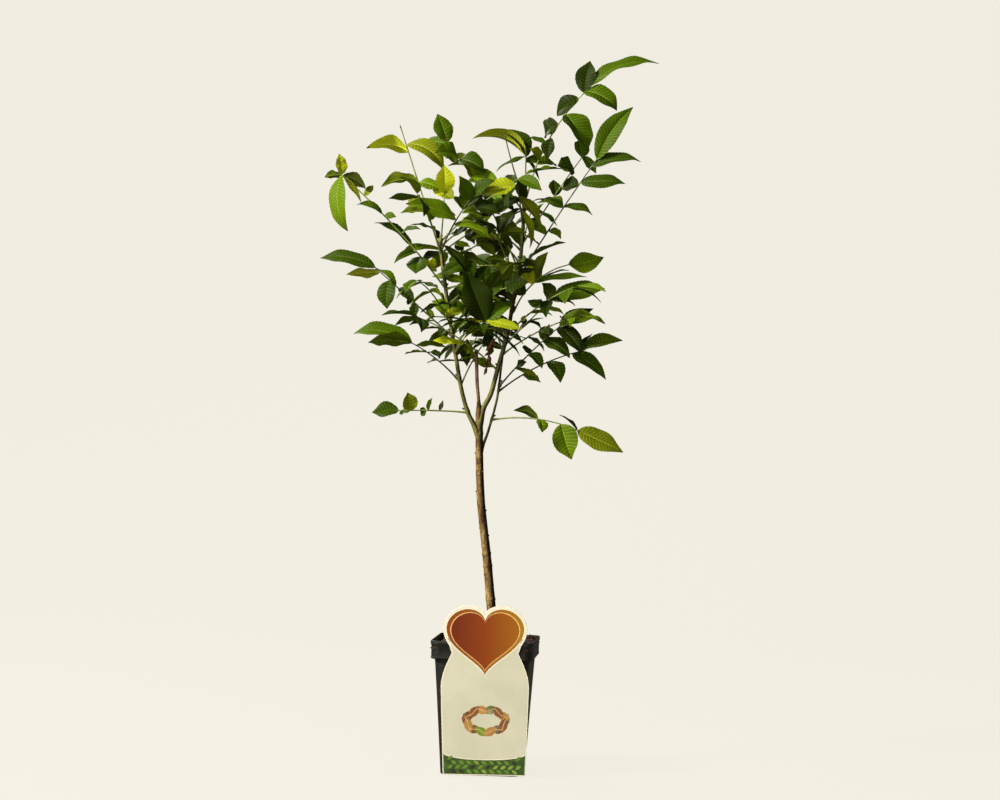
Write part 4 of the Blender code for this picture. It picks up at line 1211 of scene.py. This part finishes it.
def make_dry_leaf():
    """A withered leaf that hangs between the leader and the right bough."""
    steps = 30
    foot, _, _ = limb_at(LIMBS["bough_right"], 640)
    line = smooth_line([foot, (6, -3, 637), (-3, -6, 626), (-7, -7, 606), (-8, -7, 584)], steps)
    shape = Shape()
    shape.add(*skin(tube(line, [0.75 - 0.3 * i / steps for i in range(steps + 1)], 7)))
    widths = (0.4, 1.5, 2.2, 2.4, 2.1, 1.6, 1.0, 0.3)
    rnd = random.Random("withered")
    for root in line[9::3][:7]:
        aim = direction(rnd.uniform(0, 360), rnd.uniform(-80, -20))
        path = [root]
        for _ in widths[1:]:
            stray = Vector((rnd.uniform(-0.4, 0.4), rnd.uniform(-0.4, 0.4), rnd.uniform(-0.5, 0.2)))
            aim = (aim + stray).normalized()
            path.append(path[-1] + aim * rnd.uniform(1.4, 2.4))
        rings = tube(path, widths, 9)
        for middle, ring in zip(path, rings):
            for s, p in enumerate(ring):
                p += (middle - p) * (0.55 * (s % 2) + rnd.uniform(-0.15, 0.15))
        shape.add(*skin(rings))
    dry = Finish("withered", 0.85).mottle((240.0,), (0.3, 58, 26, 14), (0.7, 122, 66, 34))
    piece("withered_leaf", shape, [dry])


# Pot and compost

LEDGE = POT_HEIGHT - RIM_BAND
CRUMBS = 3400
BARK_BITS = 1300
PALE_GRAINS = 260

# The pot's rings from its foot to inside its rim. Foot: how far inside the foot's half width, how much
# tighter the corners, height. Body: share of the way up. Band: how far inside the rim's half width,
# height over the ledge. Lip: how far inside the rim's half width, how much tighter, depth under the rim
POT_FOOT = ((4.0, 3.0, 1.2), (2.6, 2.2, 0.0), (1.2, 1.0, 0.0), (0.3, 0.2, 0.6), (0, 0, 1.8))
POT_BODY = (0.02, 0.1, 0.2, 0.3, 0.4, 0.5, 0.6, 0.7, 0.8, 0.9, 0.97)
POT_BAND = ((1.6, -0.5), (0.9, -0.1), (0.55, 0.8), (0.5, 2.0), (0.9, 2.6), (0.9, 19.0), (0.4, 20.0),
            (0, 20.8))
POT_LIP = ((0, 0, 1.1), (0.25, 0.2, 0.3), (0.7, 0.6, 0), (1.5, 1.3, 0.1), (1.9, 1.6, 0.7))


def pot_inside():
    """The wall's inner face from the rim down, as half width, corner radius and height."""
    return (
        (RIM_HALF - WALL, POT_CORNER - WALL, POT_HEIGHT),
        (RIM_HALF - WALL - 0.6, POT_CORNER - WALL, LEDGE + 2 * WALL),
        (BODY_HALF_TOP - WALL, POT_CORNER - WALL, LEDGE + 0.2),
        (BODY_HALF_FOOT - WALL, POT_CORNER - WALL, WALL),
    )


def make_pot():
    """The pot with its rolled rim, the moulded step under the band and its foot."""
    stations = [(BODY_HALF_FOOT - less, POT_CORNER - tight, height) for less, tight, height in POT_FOOT]
    stations += [(BODY_HALF_FOOT + (BODY_HALF_TOP - BODY_HALF_FOOT) * share, POT_CORNER,
                  1.8 + (LEDGE - 3.0) * share) for share in POT_BODY]
    stations += [(BODY_HALF_TOP + 0.3, POT_CORNER, LEDGE - 0.9)]
    stations += [(RIM_HALF - less, POT_CORNER, LEDGE + height) for less, height in POT_BAND]
    stations += [(RIM_HALF - less, POT_CORNER - tight, POT_HEIGHT - drop) for less, tight, drop in POT_LIP]
    stations += [(half - 0.1, corner, height - 0.2) for half, corner, height in pot_inside()[1:]]
    rings = [rounded_square(*station) for station in stations]
    for ring in rings:
        for p in ring:
            sag = 0.5 * math.sin(math.pi * min(max(p.z / LEDGE, 0.0), 1.0))
            p -= Vector((p.x, p.y, 0)).normalized() * sag * 0.6
    shape = Shape()
    shape.add(*skin(rings))
    plastic = Finish("pot_plastic", 0.55, None, 0.32).bump((1500.0, 3.0), 0.18, 0.0003)
    plastic.mottle((46.0, 6.0, 0.7), (0.4, 21, 20, 15), (0.62, 33, 31, 24), (0.8, 58, 53, 42))
    piece("pot_wall", shape, [plastic], ["pot"], POT_TURN, 30)


def soil_height(x, y):
    """The lumpy surface of the compost between the wall and the trunk's foot."""
    rnd = random.Random("compost")
    height = 0.0
    for _ in range(6):
        heading = rnd.uniform(0, math.pi)
        pitch = 2 * math.pi / rnd.uniform(26, 60)
        phase = rnd.uniform(0, 2 * math.pi)
        height += math.sin(pitch * (x * math.cos(heading) + y * math.sin(heading)) + phase)
    return height / math.sqrt(6) * SOIL_LUMP


def crumb(shape, centre, size, rnd, stretch=1.0):
    """A crumb: a lumpy closed bit with corners, turned at random."""
    turn = Matrix.Rotation(rnd.uniform(0, 6.3), 3, Vector((rnd.uniform(-1, 1), rnd.uniform(-1, 1), 1)))
    rings = []
    for level, width in ((-0.55, 0.55), (-0.1, 1.0), (0.45, 0.62)):
        ring = []
        for s in range(5):
            t = 2 * math.pi * (s + 0.5 * level) / 5
            reach = size * width * rnd.uniform(0.7, 1.2)
            ring.append(Vector((math.cos(t) * reach * stretch, math.sin(t) * reach, level * size)))
        rings.append([centre + turn @ p for p in ring])
    shape.add(*skin(rings))


def make_soil():
    """The compost: a rough surface with loose crumbs, bits of bark and pale grains on it."""
    foot = Matrix.Rotation(-math.radians(POT_TURN), 2) @ Vector(TRUNK_LINE[0][:2])
    walls = [(half - GAP, corner - GAP, height + GAP) for half, corner, height in reversed(pot_inside())]
    rings = [rounded_square(*station) for station in walls[:-1]]
    top_half, top_corner, _ = walls[-1]
    spots = []
    for ring in range(SOIL_RINGS + 1):
        share = ring / SOIL_RINGS
        half = top_half + (SOIL_PATCH - top_half) * share
        corner = top_corner + (SOIL_PATCH - top_corner) * share
        line = rounded_square(half - 0.3 * (1 - share), corner, 0.0, foot * share)
        rise = SOIL_EDGE + (SOIL_TOP - SOIL_EDGE) * math.sin(share * math.pi / 2) ** 0.6
        for p in line:
            p.z = rise + soil_height(p.x, p.y) * math.sin(share * math.pi) ** 0.5
            p.z += 0.9 * noise.fractal(p / 5.0, 0.8, 2.0, 4) - 0.6
        spots.append(line)
    earth = Shape()
    earth.add(*skin(rings + spots))
    rnd = random.Random("crumbs")

    def spot():
        ring = int(SOIL_RINGS * (1 - math.sqrt(rnd.random())) * 0.98)
        s = rnd.randrange(len(spots[ring]))
        t = rnd.random()
        outer, inner = (line[s].lerp(line[(s + 1) % len(line)], t) for line in spots[ring:ring + 2])
        return outer.lerp(inner, rnd.random())

    wet = Finish("compost_dark", 0.95).bump((700.0, 5.0, 0.7), 0.8, 0.002)
    wet.mottle((160.0, 6.0, 0.7), (0.3, 26, 18, 12), (0.7, 64, 46, 32))
    bark = Finish("compost_red", 0.9).mottle((140.0,), (0.3, 58, 30, 18), (0.7, 112, 68, 42))
    grit = Finish("compost_grit", 0.85).mottle((200.0,), (0.3, 150, 140, 122), (0.7, 206, 200, 186))
    piece("compost", earth, [wet], ["soil"], POT_TURN, 80)
    for name, count, lift, sizes, stretch, finish in (
        ("compost_crumbs", CRUMBS, 0, (0.6, 2.0), (1.0, 1.8), wet),
        ("compost_bark", BARK_BITS, 0.4, (0.7, 2.3), (1.2, 2.8), bark),
        ("compost_grit", PALE_GRAINS, 0.6, (0.5, 1.3), None, grit),
    ):
        bits = Shape()
        for _ in range(count):
            place = spot() + Vector((0, 0, lift))
            size = rnd.uniform(*sizes)
            crumb(bits, place, size, rnd, rnd.uniform(*stretch) if stretch else 1.0)
        piece(name, bits, [finish], (), POT_TURN, 20)


# The card

FOOT_SIDE = 34.0
FOOT_DIP = 9.0
FOOT_LINE = 1.6
HEART_STEPS = 160
FOOT_LEAF = (10.0, 4.6)
FOOT_LEAF_SLOPE = 34
FOOT_LEAF_PITCH = (11.0, 6.4)
FOOT_LEAF_LOW = 8.5
FOOT_LEAF_ROOM = 3.4
WREATH_LEAVES = 14
WREATH_LEAF = (23, 12.5)
WREATH_RIB = (18, 1.0)
WREATH_MIDDLE = (2, 82)
WREATH_HALVES = (28, 16)
WREATH_SLOPE = 24
WREATH_FINISHES = (2, 6, 2, 3, 6, 2, 2)
WREATH_STEP = 0.03
MARK_COLOURS = (("leaf_a", (106, 140, 36)), ("leaf_b", (140, 164, 60)), ("brown", (142, 84, 34)),
                ("green", (124, 154, 34)), ("rib", (222, 192, 132)), ("dark", (44, 40, 18)),
                ("tan", (188, 136, 62)))


def heart_point(turn, grow=1.0):
    """A point on the heart's edge, from the notch at 0 to the tip at pi, grown about its middle."""
    x = 16 * math.sin(turn) ** 3
    z = 14 * math.cos(turn) - 4.2 * math.cos(2 * turn) - 2 * math.cos(3 * turn) - 0.8 * math.cos(4 * turn)
    middle = HEART_TOP - 0.46 * HEART_HEIGHT
    height = HEART_TOP + (z - 12.2) * HEART_HEIGHT / 29.2
    return Vector((x * HEART_WIDTH / 32 * grow, middle + (height - middle) * grow))


def border_point(turn):
    """The point a border's width outside the heart's edge."""
    along = heart_point(turn + 0.01) - heart_point(turn - 0.01)
    return heart_point(turn) + Vector((-along.y, along.x)).normalized() * HEART_BORDER


def hung(p, depth):
    """A point of the card's own drawing, leaned and moved as the card hangs, at a depth."""
    lean = Matrix.Rotation(math.radians(-CARD_LEAN), 2)
    middle = Vector((0, HEART_TOP))
    x, z = lean @ (p - middle) + middle + Vector((CARD_SHIFT, 0))
    return Vector((x, depth, z))


def mirrored(points):
    """The same points on the card's other side, from the last to the first."""
    return [Vector((-p.x, p.y)) for p in reversed(points)]


def flank(share):
    """The panel's edge from the waist, at 0, to the shoulder, at 1."""
    return Vector((WAIST_HALF + (SHOULDER_HALF - WAIST_HALF) * math.sin(share * math.pi / 2),
                   WAIST_HEIGHT + (SHOULDER_HEIGHT - WAIST_HEIGHT) * share))


def card_edge():
    """The card's outline: the border round the heart's lobes, a waist and a straight panel."""
    lobe = [border_point(HEART_END * step / 56) for step in range(1, 57)]
    half = [p for p in lobe if p.x > 0.5]
    half.insert(0, Vector((0.0, half[0].y - half[0].x)))
    half += [flank(step / 16) for step in range(17)]
    half += [Vector((CARD_FOOT_HALF + out, CARD_FOOT + up)) for out, up in ((0.1, 3), (-0.8, 0.8), (-3, 0))]
    return half + mirrored(half[1:])


def plate(shape, edge, back, thick, finish, round_off=0.0):
    """A flat plate with the given outline, its front towards the viewer."""
    middle = sum(edge, Vector((0, 0))) / len(edge)
    rings = []
    for depth in (back, back - thick + round_off, back - thick):
        shrink = round_off if depth == back - thick and round_off else 0.0
        rings.append([hung(p + (middle - p).normalized() * shrink, depth) for p in edge])
    shape.add(*skin(rings), finish)


def heart_band(shape, outer, inner, back, thick, finish):
    """A thin printed line between two sizes of the heart."""
    edges = [[heart_point(t, grow) for t in around(HEART_STEPS)[1:]] for grow in (outer, inner)]
    points = [hung(p, depth) for depth in (back, back - thick) for edge in edges for p in edge]
    count = HEART_STEPS - 1
    front_a, front_b = 2 * count, 3 * count
    faces = []
    for s in range(count):
        t = (s + 1) % count
        faces += [(front_a + s, front_a + t, front_b + t, front_b + s), (s, count + s, count + t, t),
                  (s, t, front_a + t, front_a + s), (count + s, front_b + s, front_b + t, count + t)]
    shape.add(points, faces, finish)


def lens(middle, length, width, turn):
    """The outline of a plain pointed leaf."""
    spin = Matrix.Rotation(math.radians(turn), 2)
    half = [Vector((length * (s / 10 - 0.5), width / 2 * math.sin(math.pi * s / 10))) for s in range(11)]
    both = half + [Vector((p.x, -p.y)) for p in reversed(half[1:-1])]
    return [middle + spin @ p for p in both]


def across_card(name, *stops):
    """A print whose colour changes from the card's left to its right."""
    finish = Finish(name, 0.45, None, 0.2)
    return finish.paint(finish.ramp(finish.span("Object", -0.055, 0.065), *stops))


def printed(name, shape, *finishes, nodes=()):
    """A part of the card, which turns with the pot."""
    piece(name, shape, finishes, nodes, POT_TURN, 25)


def foot_half(height):
    """Half the width of the prints near the card's foot."""
    return CARD_FOOT_HALF + (SHOULDER_HALF - CARD_FOOT_HALF) * height / SHOULDER_HEIGHT - CARD_MARGIN


def make_board():
    """The card itself, with the tab that hooks it over the pot's rim."""
    back = -(RIM_HALF + GAP)
    top = POT_HEIGHT + GAP
    inside = -(RIM_HALF - WALL - GAP)
    body = Shape()
    plate(body, card_edge(), back, CARD_THICK, 0, 0.25)
    hook = ((back - CARD_THICK / 2, top), (inside, top), (inside, top - TAB_DEPTH),
            (inside + TAB_THICK, top - TAB_DEPTH), (inside + TAB_THICK, top + TAB_THICK),
            (back - CARD_THICK / 2, top + TAB_THICK))
    body.add(*skin([[Vector((x, y, z)) for y, z in hook] for x in (-TAB_HALF, TAB_HALF)]))
    board = Finish("card_board", 0.45).bump((1200.0, 2.0), 0.06, 0.0002)
    board.mottle((18.0, 3.0), (0.3, 228, 219, 194), (0.7, 240, 232, 210))
    printed("card_board", body, board, nodes=["card_label"])


def make_prints():
    """The prints: a pale panel, a heart with its lines, a green foot, and plain leaves on both."""
    front = -(RIM_HALF + GAP) - CARD_THICK
    lift = front + 0.05
    over = front - 0.04
    panel = Shape()
    turns = [math.pi * s / 24 for s in range(25)]
    arc = [Vector((foot_half(FOOT_SIDE) * math.cos(t), FOOT_SIDE + FOOT_LINE - FOOT_DIP * math.sin(t)))
           for t in turns]
    low_turn = HEART_END + 0.02
    under_heart = [heart_point(low_turn + (math.pi - HEART_END - 0.02) * s / 16, 1.09) for s in range(17)]
    side = [p - Vector((CARD_MARGIN, 0)) for p in (flank(s / 12) for s in range(13))
            if p.y < under_heart[0].y]
    half = arc[:1] + side[::-1] + under_heart
    plate(panel, half + mirrored(half[:-1]) + arc[-2:0:-1], lift, PRINT_THICK, 0)
    printed("card_panel", panel, Finish("card_panel", 0.4).mottle((14.0, 3.0), (0.3, 199, 195, 168),
                                                                  (0.7, 213, 209, 184)))

    heart = Shape()
    plate(heart, [heart_point(t, 1.04) for t in around(HEART_STEPS)[1:]], lift, PRINT_THICK, 0)
    printed("card_heart", heart, across_card("card_heart", (0.0, 104, 32, 2), (0.45, 136, 58, 6),
                                             (1.0, 162, 104, 12)))

    lines = Shape()
    heart_band(lines, 1.035, 0.94, over, 0.08, 0)
    heart_band(lines, 0.94, 0.915, over, 0.09, 1)
    # Dark strips in the die-cut slits at the heart's waist and by its tip: painted shade in the gaps
    for turn, span in ((HEART_END - 0.1, 0.09), (2 * math.pi - HEART_END + 0.01, 0.09), (math.pi, 0.02)):
        steps = [turn + span * s / 4 for s in range(5)]
        cut = [heart_point(t, 1.06) for t in steps] + [heart_point(t, 1.075) for t in reversed(steps)]
        plate(lines, cut, over, 0.06, 2)
    printed("card_lines", lines, across_card("card_ring", (0.0, 138, 64, 10), (1.0, 166, 118, 18)),
            Finish("card_line", 0.4, (236, 186, 112)), Finish("card_slit", 0.8, (70, 58, 40)))

    foot = Shape()
    low = CARD_FOOT + CARD_MARGIN
    edge = [Vector((-foot_half(low), low)), Vector((foot_half(low), low))]
    plate(foot, edge + [p - Vector((0, FOOT_LINE)) for p in arc], lift, PRINT_THICK, 0)
    printed("card_foot", foot, Finish("card_green", 0.45).mottle((60.0, 3.0), (0.35, 38, 62, 12),
                                                                 (0.7, 70, 104, 24)))

    marks = Shape()
    rnd = random.Random("card leaves")
    pitch, rise = FOOT_LEAF_PITCH
    for row in range(4):
        for k in range(-5, 6):
            middle = Vector((pitch * k + pitch / 2 * (row % 2), FOOT_LEAF_LOW + rise * row))
            across = foot_half(middle.y)
            room = FOOT_SIDE - FOOT_DIP * math.cos(math.pi * middle.x / 2 / across) - FOOT_LEAF_ROOM
            if abs(middle.x) < across - 5 and middle.y < room:
                leaf = lens(middle, *FOOT_LEAF, FOOT_LEAF_SLOPE if row % 2 else -FOOT_LEAF_SLOPE)
                plate(marks, leaf, over, 0.07, rnd.choice((0, 0, 1, 5)))
    wide, high = WREATH_HALVES
    for k, turn in enumerate(around(WREATH_LEAVES)):
        x = math.cos(turn)
        y = math.sin(turn)
        middle = Vector((WREATH_MIDDLE[0] + wide * x, WREATH_MIDDLE[1] + high * y))
        slope = math.degrees(math.atan2(high * x, -wide * y)) + (WREATH_SLOPE if k % 2 else -WREATH_SLOPE)
        raised = WREATH_STEP * (k % 3)
        plate(marks, lens(middle, *WREATH_LEAF, slope), lift - raised, PRINT_THICK, WREATH_FINISHES[k % 7])
        plate(marks, lens(middle, *WREATH_RIB, slope), over - raised, 0.08, 4)
    finishes = []
    for name, colour in MARK_COLOURS:
        darker = [0.85 * value for value in colour]
        finishes.append(Finish("card_" + name, 0.45).mottle((90.0, 3.0), (0.35, *darker), (0.65, *colour)))
    printed("card_marks", marks, *finishes)


# The studio

STAGE_REACH = 9.0
STAGE_TOP = 8.0
WALL_STEPS = 64
SWEEP_START = 2.0
SWEEP_CURVE = 2.2
SWEEP_BACK = 4.2
PAPER_GLOW = 0.975
LIGHTS = (
    ("key", (-2.6, -1.5, 2.5), (0, 0, 0.55), 0.6, 236, (1.0, 0.965, 0.88)),
    ("rim", (-1.4, 1.9, 2.4), (0, 0, 0.7), 0.8, 60, (1.0, 0.97, 0.86)),
    ("fill", (-1.3, -3.4, 1.3), (0, 0, 0.75), 1.2, 40, (1.0, 0.98, 0.90)),
)
WORLD_TINT = (1.0, 0.96, 0.86, 1.0)
WORLD_STRENGTH = 0.19
CAMERA_PLACE = (0.0125, -4.0, 0.5455)
CAMERA_LENS = 97.83
CAMERA_ROLL = -1.3


def stage_sheet(name, points, faces, paper):
    """A sheet of the studio's paper, which throws no light of its own on the plant."""
    mesh = bpy.data.meshes.new(name)
    mesh.from_pydata(points, [], faces)
    mesh.shade_smooth()
    mesh.materials.append(paper.material)
    sheet = put(name, mesh)
    sheet.visible_diffuse = False
    sheet.visible_glossy = False
    sheet.visible_transmission = False
    return sheet


def make_stage():
    """A pale floor that sweeps up into the backdrop, and a wall all round."""
    paper = Finish("studio_paper", 0.9, (46, 45, 43), 0.0)
    paper.shader.inputs["Emission Color"].default_value = tone(241, 237, 225)
    paper.shader.inputs["Emission Strength"].default_value = PAPER_GLOW
    sweep = [(y, 0.0) for y in (-STAGE_REACH, -2.0, 0.0, 1.0, SWEEP_START)]
    sweep += [(SWEEP_START + SWEEP_CURVE * math.sin(t), SWEEP_CURVE * (1 - math.cos(t)))
              for t in (math.pi / 24 * s for s in range(1, 13))]
    sweep += [(SWEEP_BACK, 4.0), (SWEEP_BACK, STAGE_TOP)]
    points = [(x, y, z) for y, z in sweep for x in (-STAGE_REACH, STAGE_REACH)]
    faces = [(2 * i, 2 * i + 1, 2 * i + 3, 2 * i + 2) for i in range(len(sweep) - 1)]
    stage_sheet("studio_sweep", points, faces, paper)
    count = WALL_STEPS
    reach = STAGE_REACH - 0.2
    points = [(reach * math.cos(t), reach * math.sin(t), z) for z in (0.0, STAGE_TOP) for t in around(count)]
    faces = [(s, (s + 1) % count, (s + 1) % count + count, s + count) for s in range(count)]
    stage_sheet("studio_wall", points, faces, paper).visible_shadow = False


def make_lights():
    """A key light from the left, a rim light from behind, a soft fill and an even, faint world."""
    for name, place, aim, size, watts, colour in LIGHTS:
        light = bpy.data.lights.new(name, "AREA")
        light.size = size
        light.energy = watts
        light.color = colour
        lamp = put(name, light)
        lamp.location = place
        lamp.rotation_euler = (Vector(aim) - Vector(place)).to_track_quat("-Z", "Y").to_euler()
    world = bpy.data.worlds.new("studio_world")
    world.use_nodes = True
    world.node_tree.nodes["Background"].inputs["Color"].default_value = WORLD_TINT
    world.node_tree.nodes["Background"].inputs["Strength"].default_value = WORLD_STRENGTH
    bpy.context.scene.world = world
    bpy.context.scene.view_settings.view_transform = "Standard"


def make_camera():
    """A long lens level with the crown's foot, tilted a little as the photograph is."""
    view = bpy.data.cameras.new("camera")
    view.lens = CAMERA_LENS
    view.sensor_width = 36.0
    camera = put("camera", view)
    camera.location = CAMERA_PLACE
    camera.rotation_euler = (math.radians(90), math.radians(CAMERA_ROLL), 0)
    bpy.context.scene.camera = camera


make_leaves()
make_trunk()
make_leader()
make_boughs()
make_dry_leaf()
make_pot()
make_soil()
make_board()
make_prints()
make_stage()
make_lights()
make_camera()
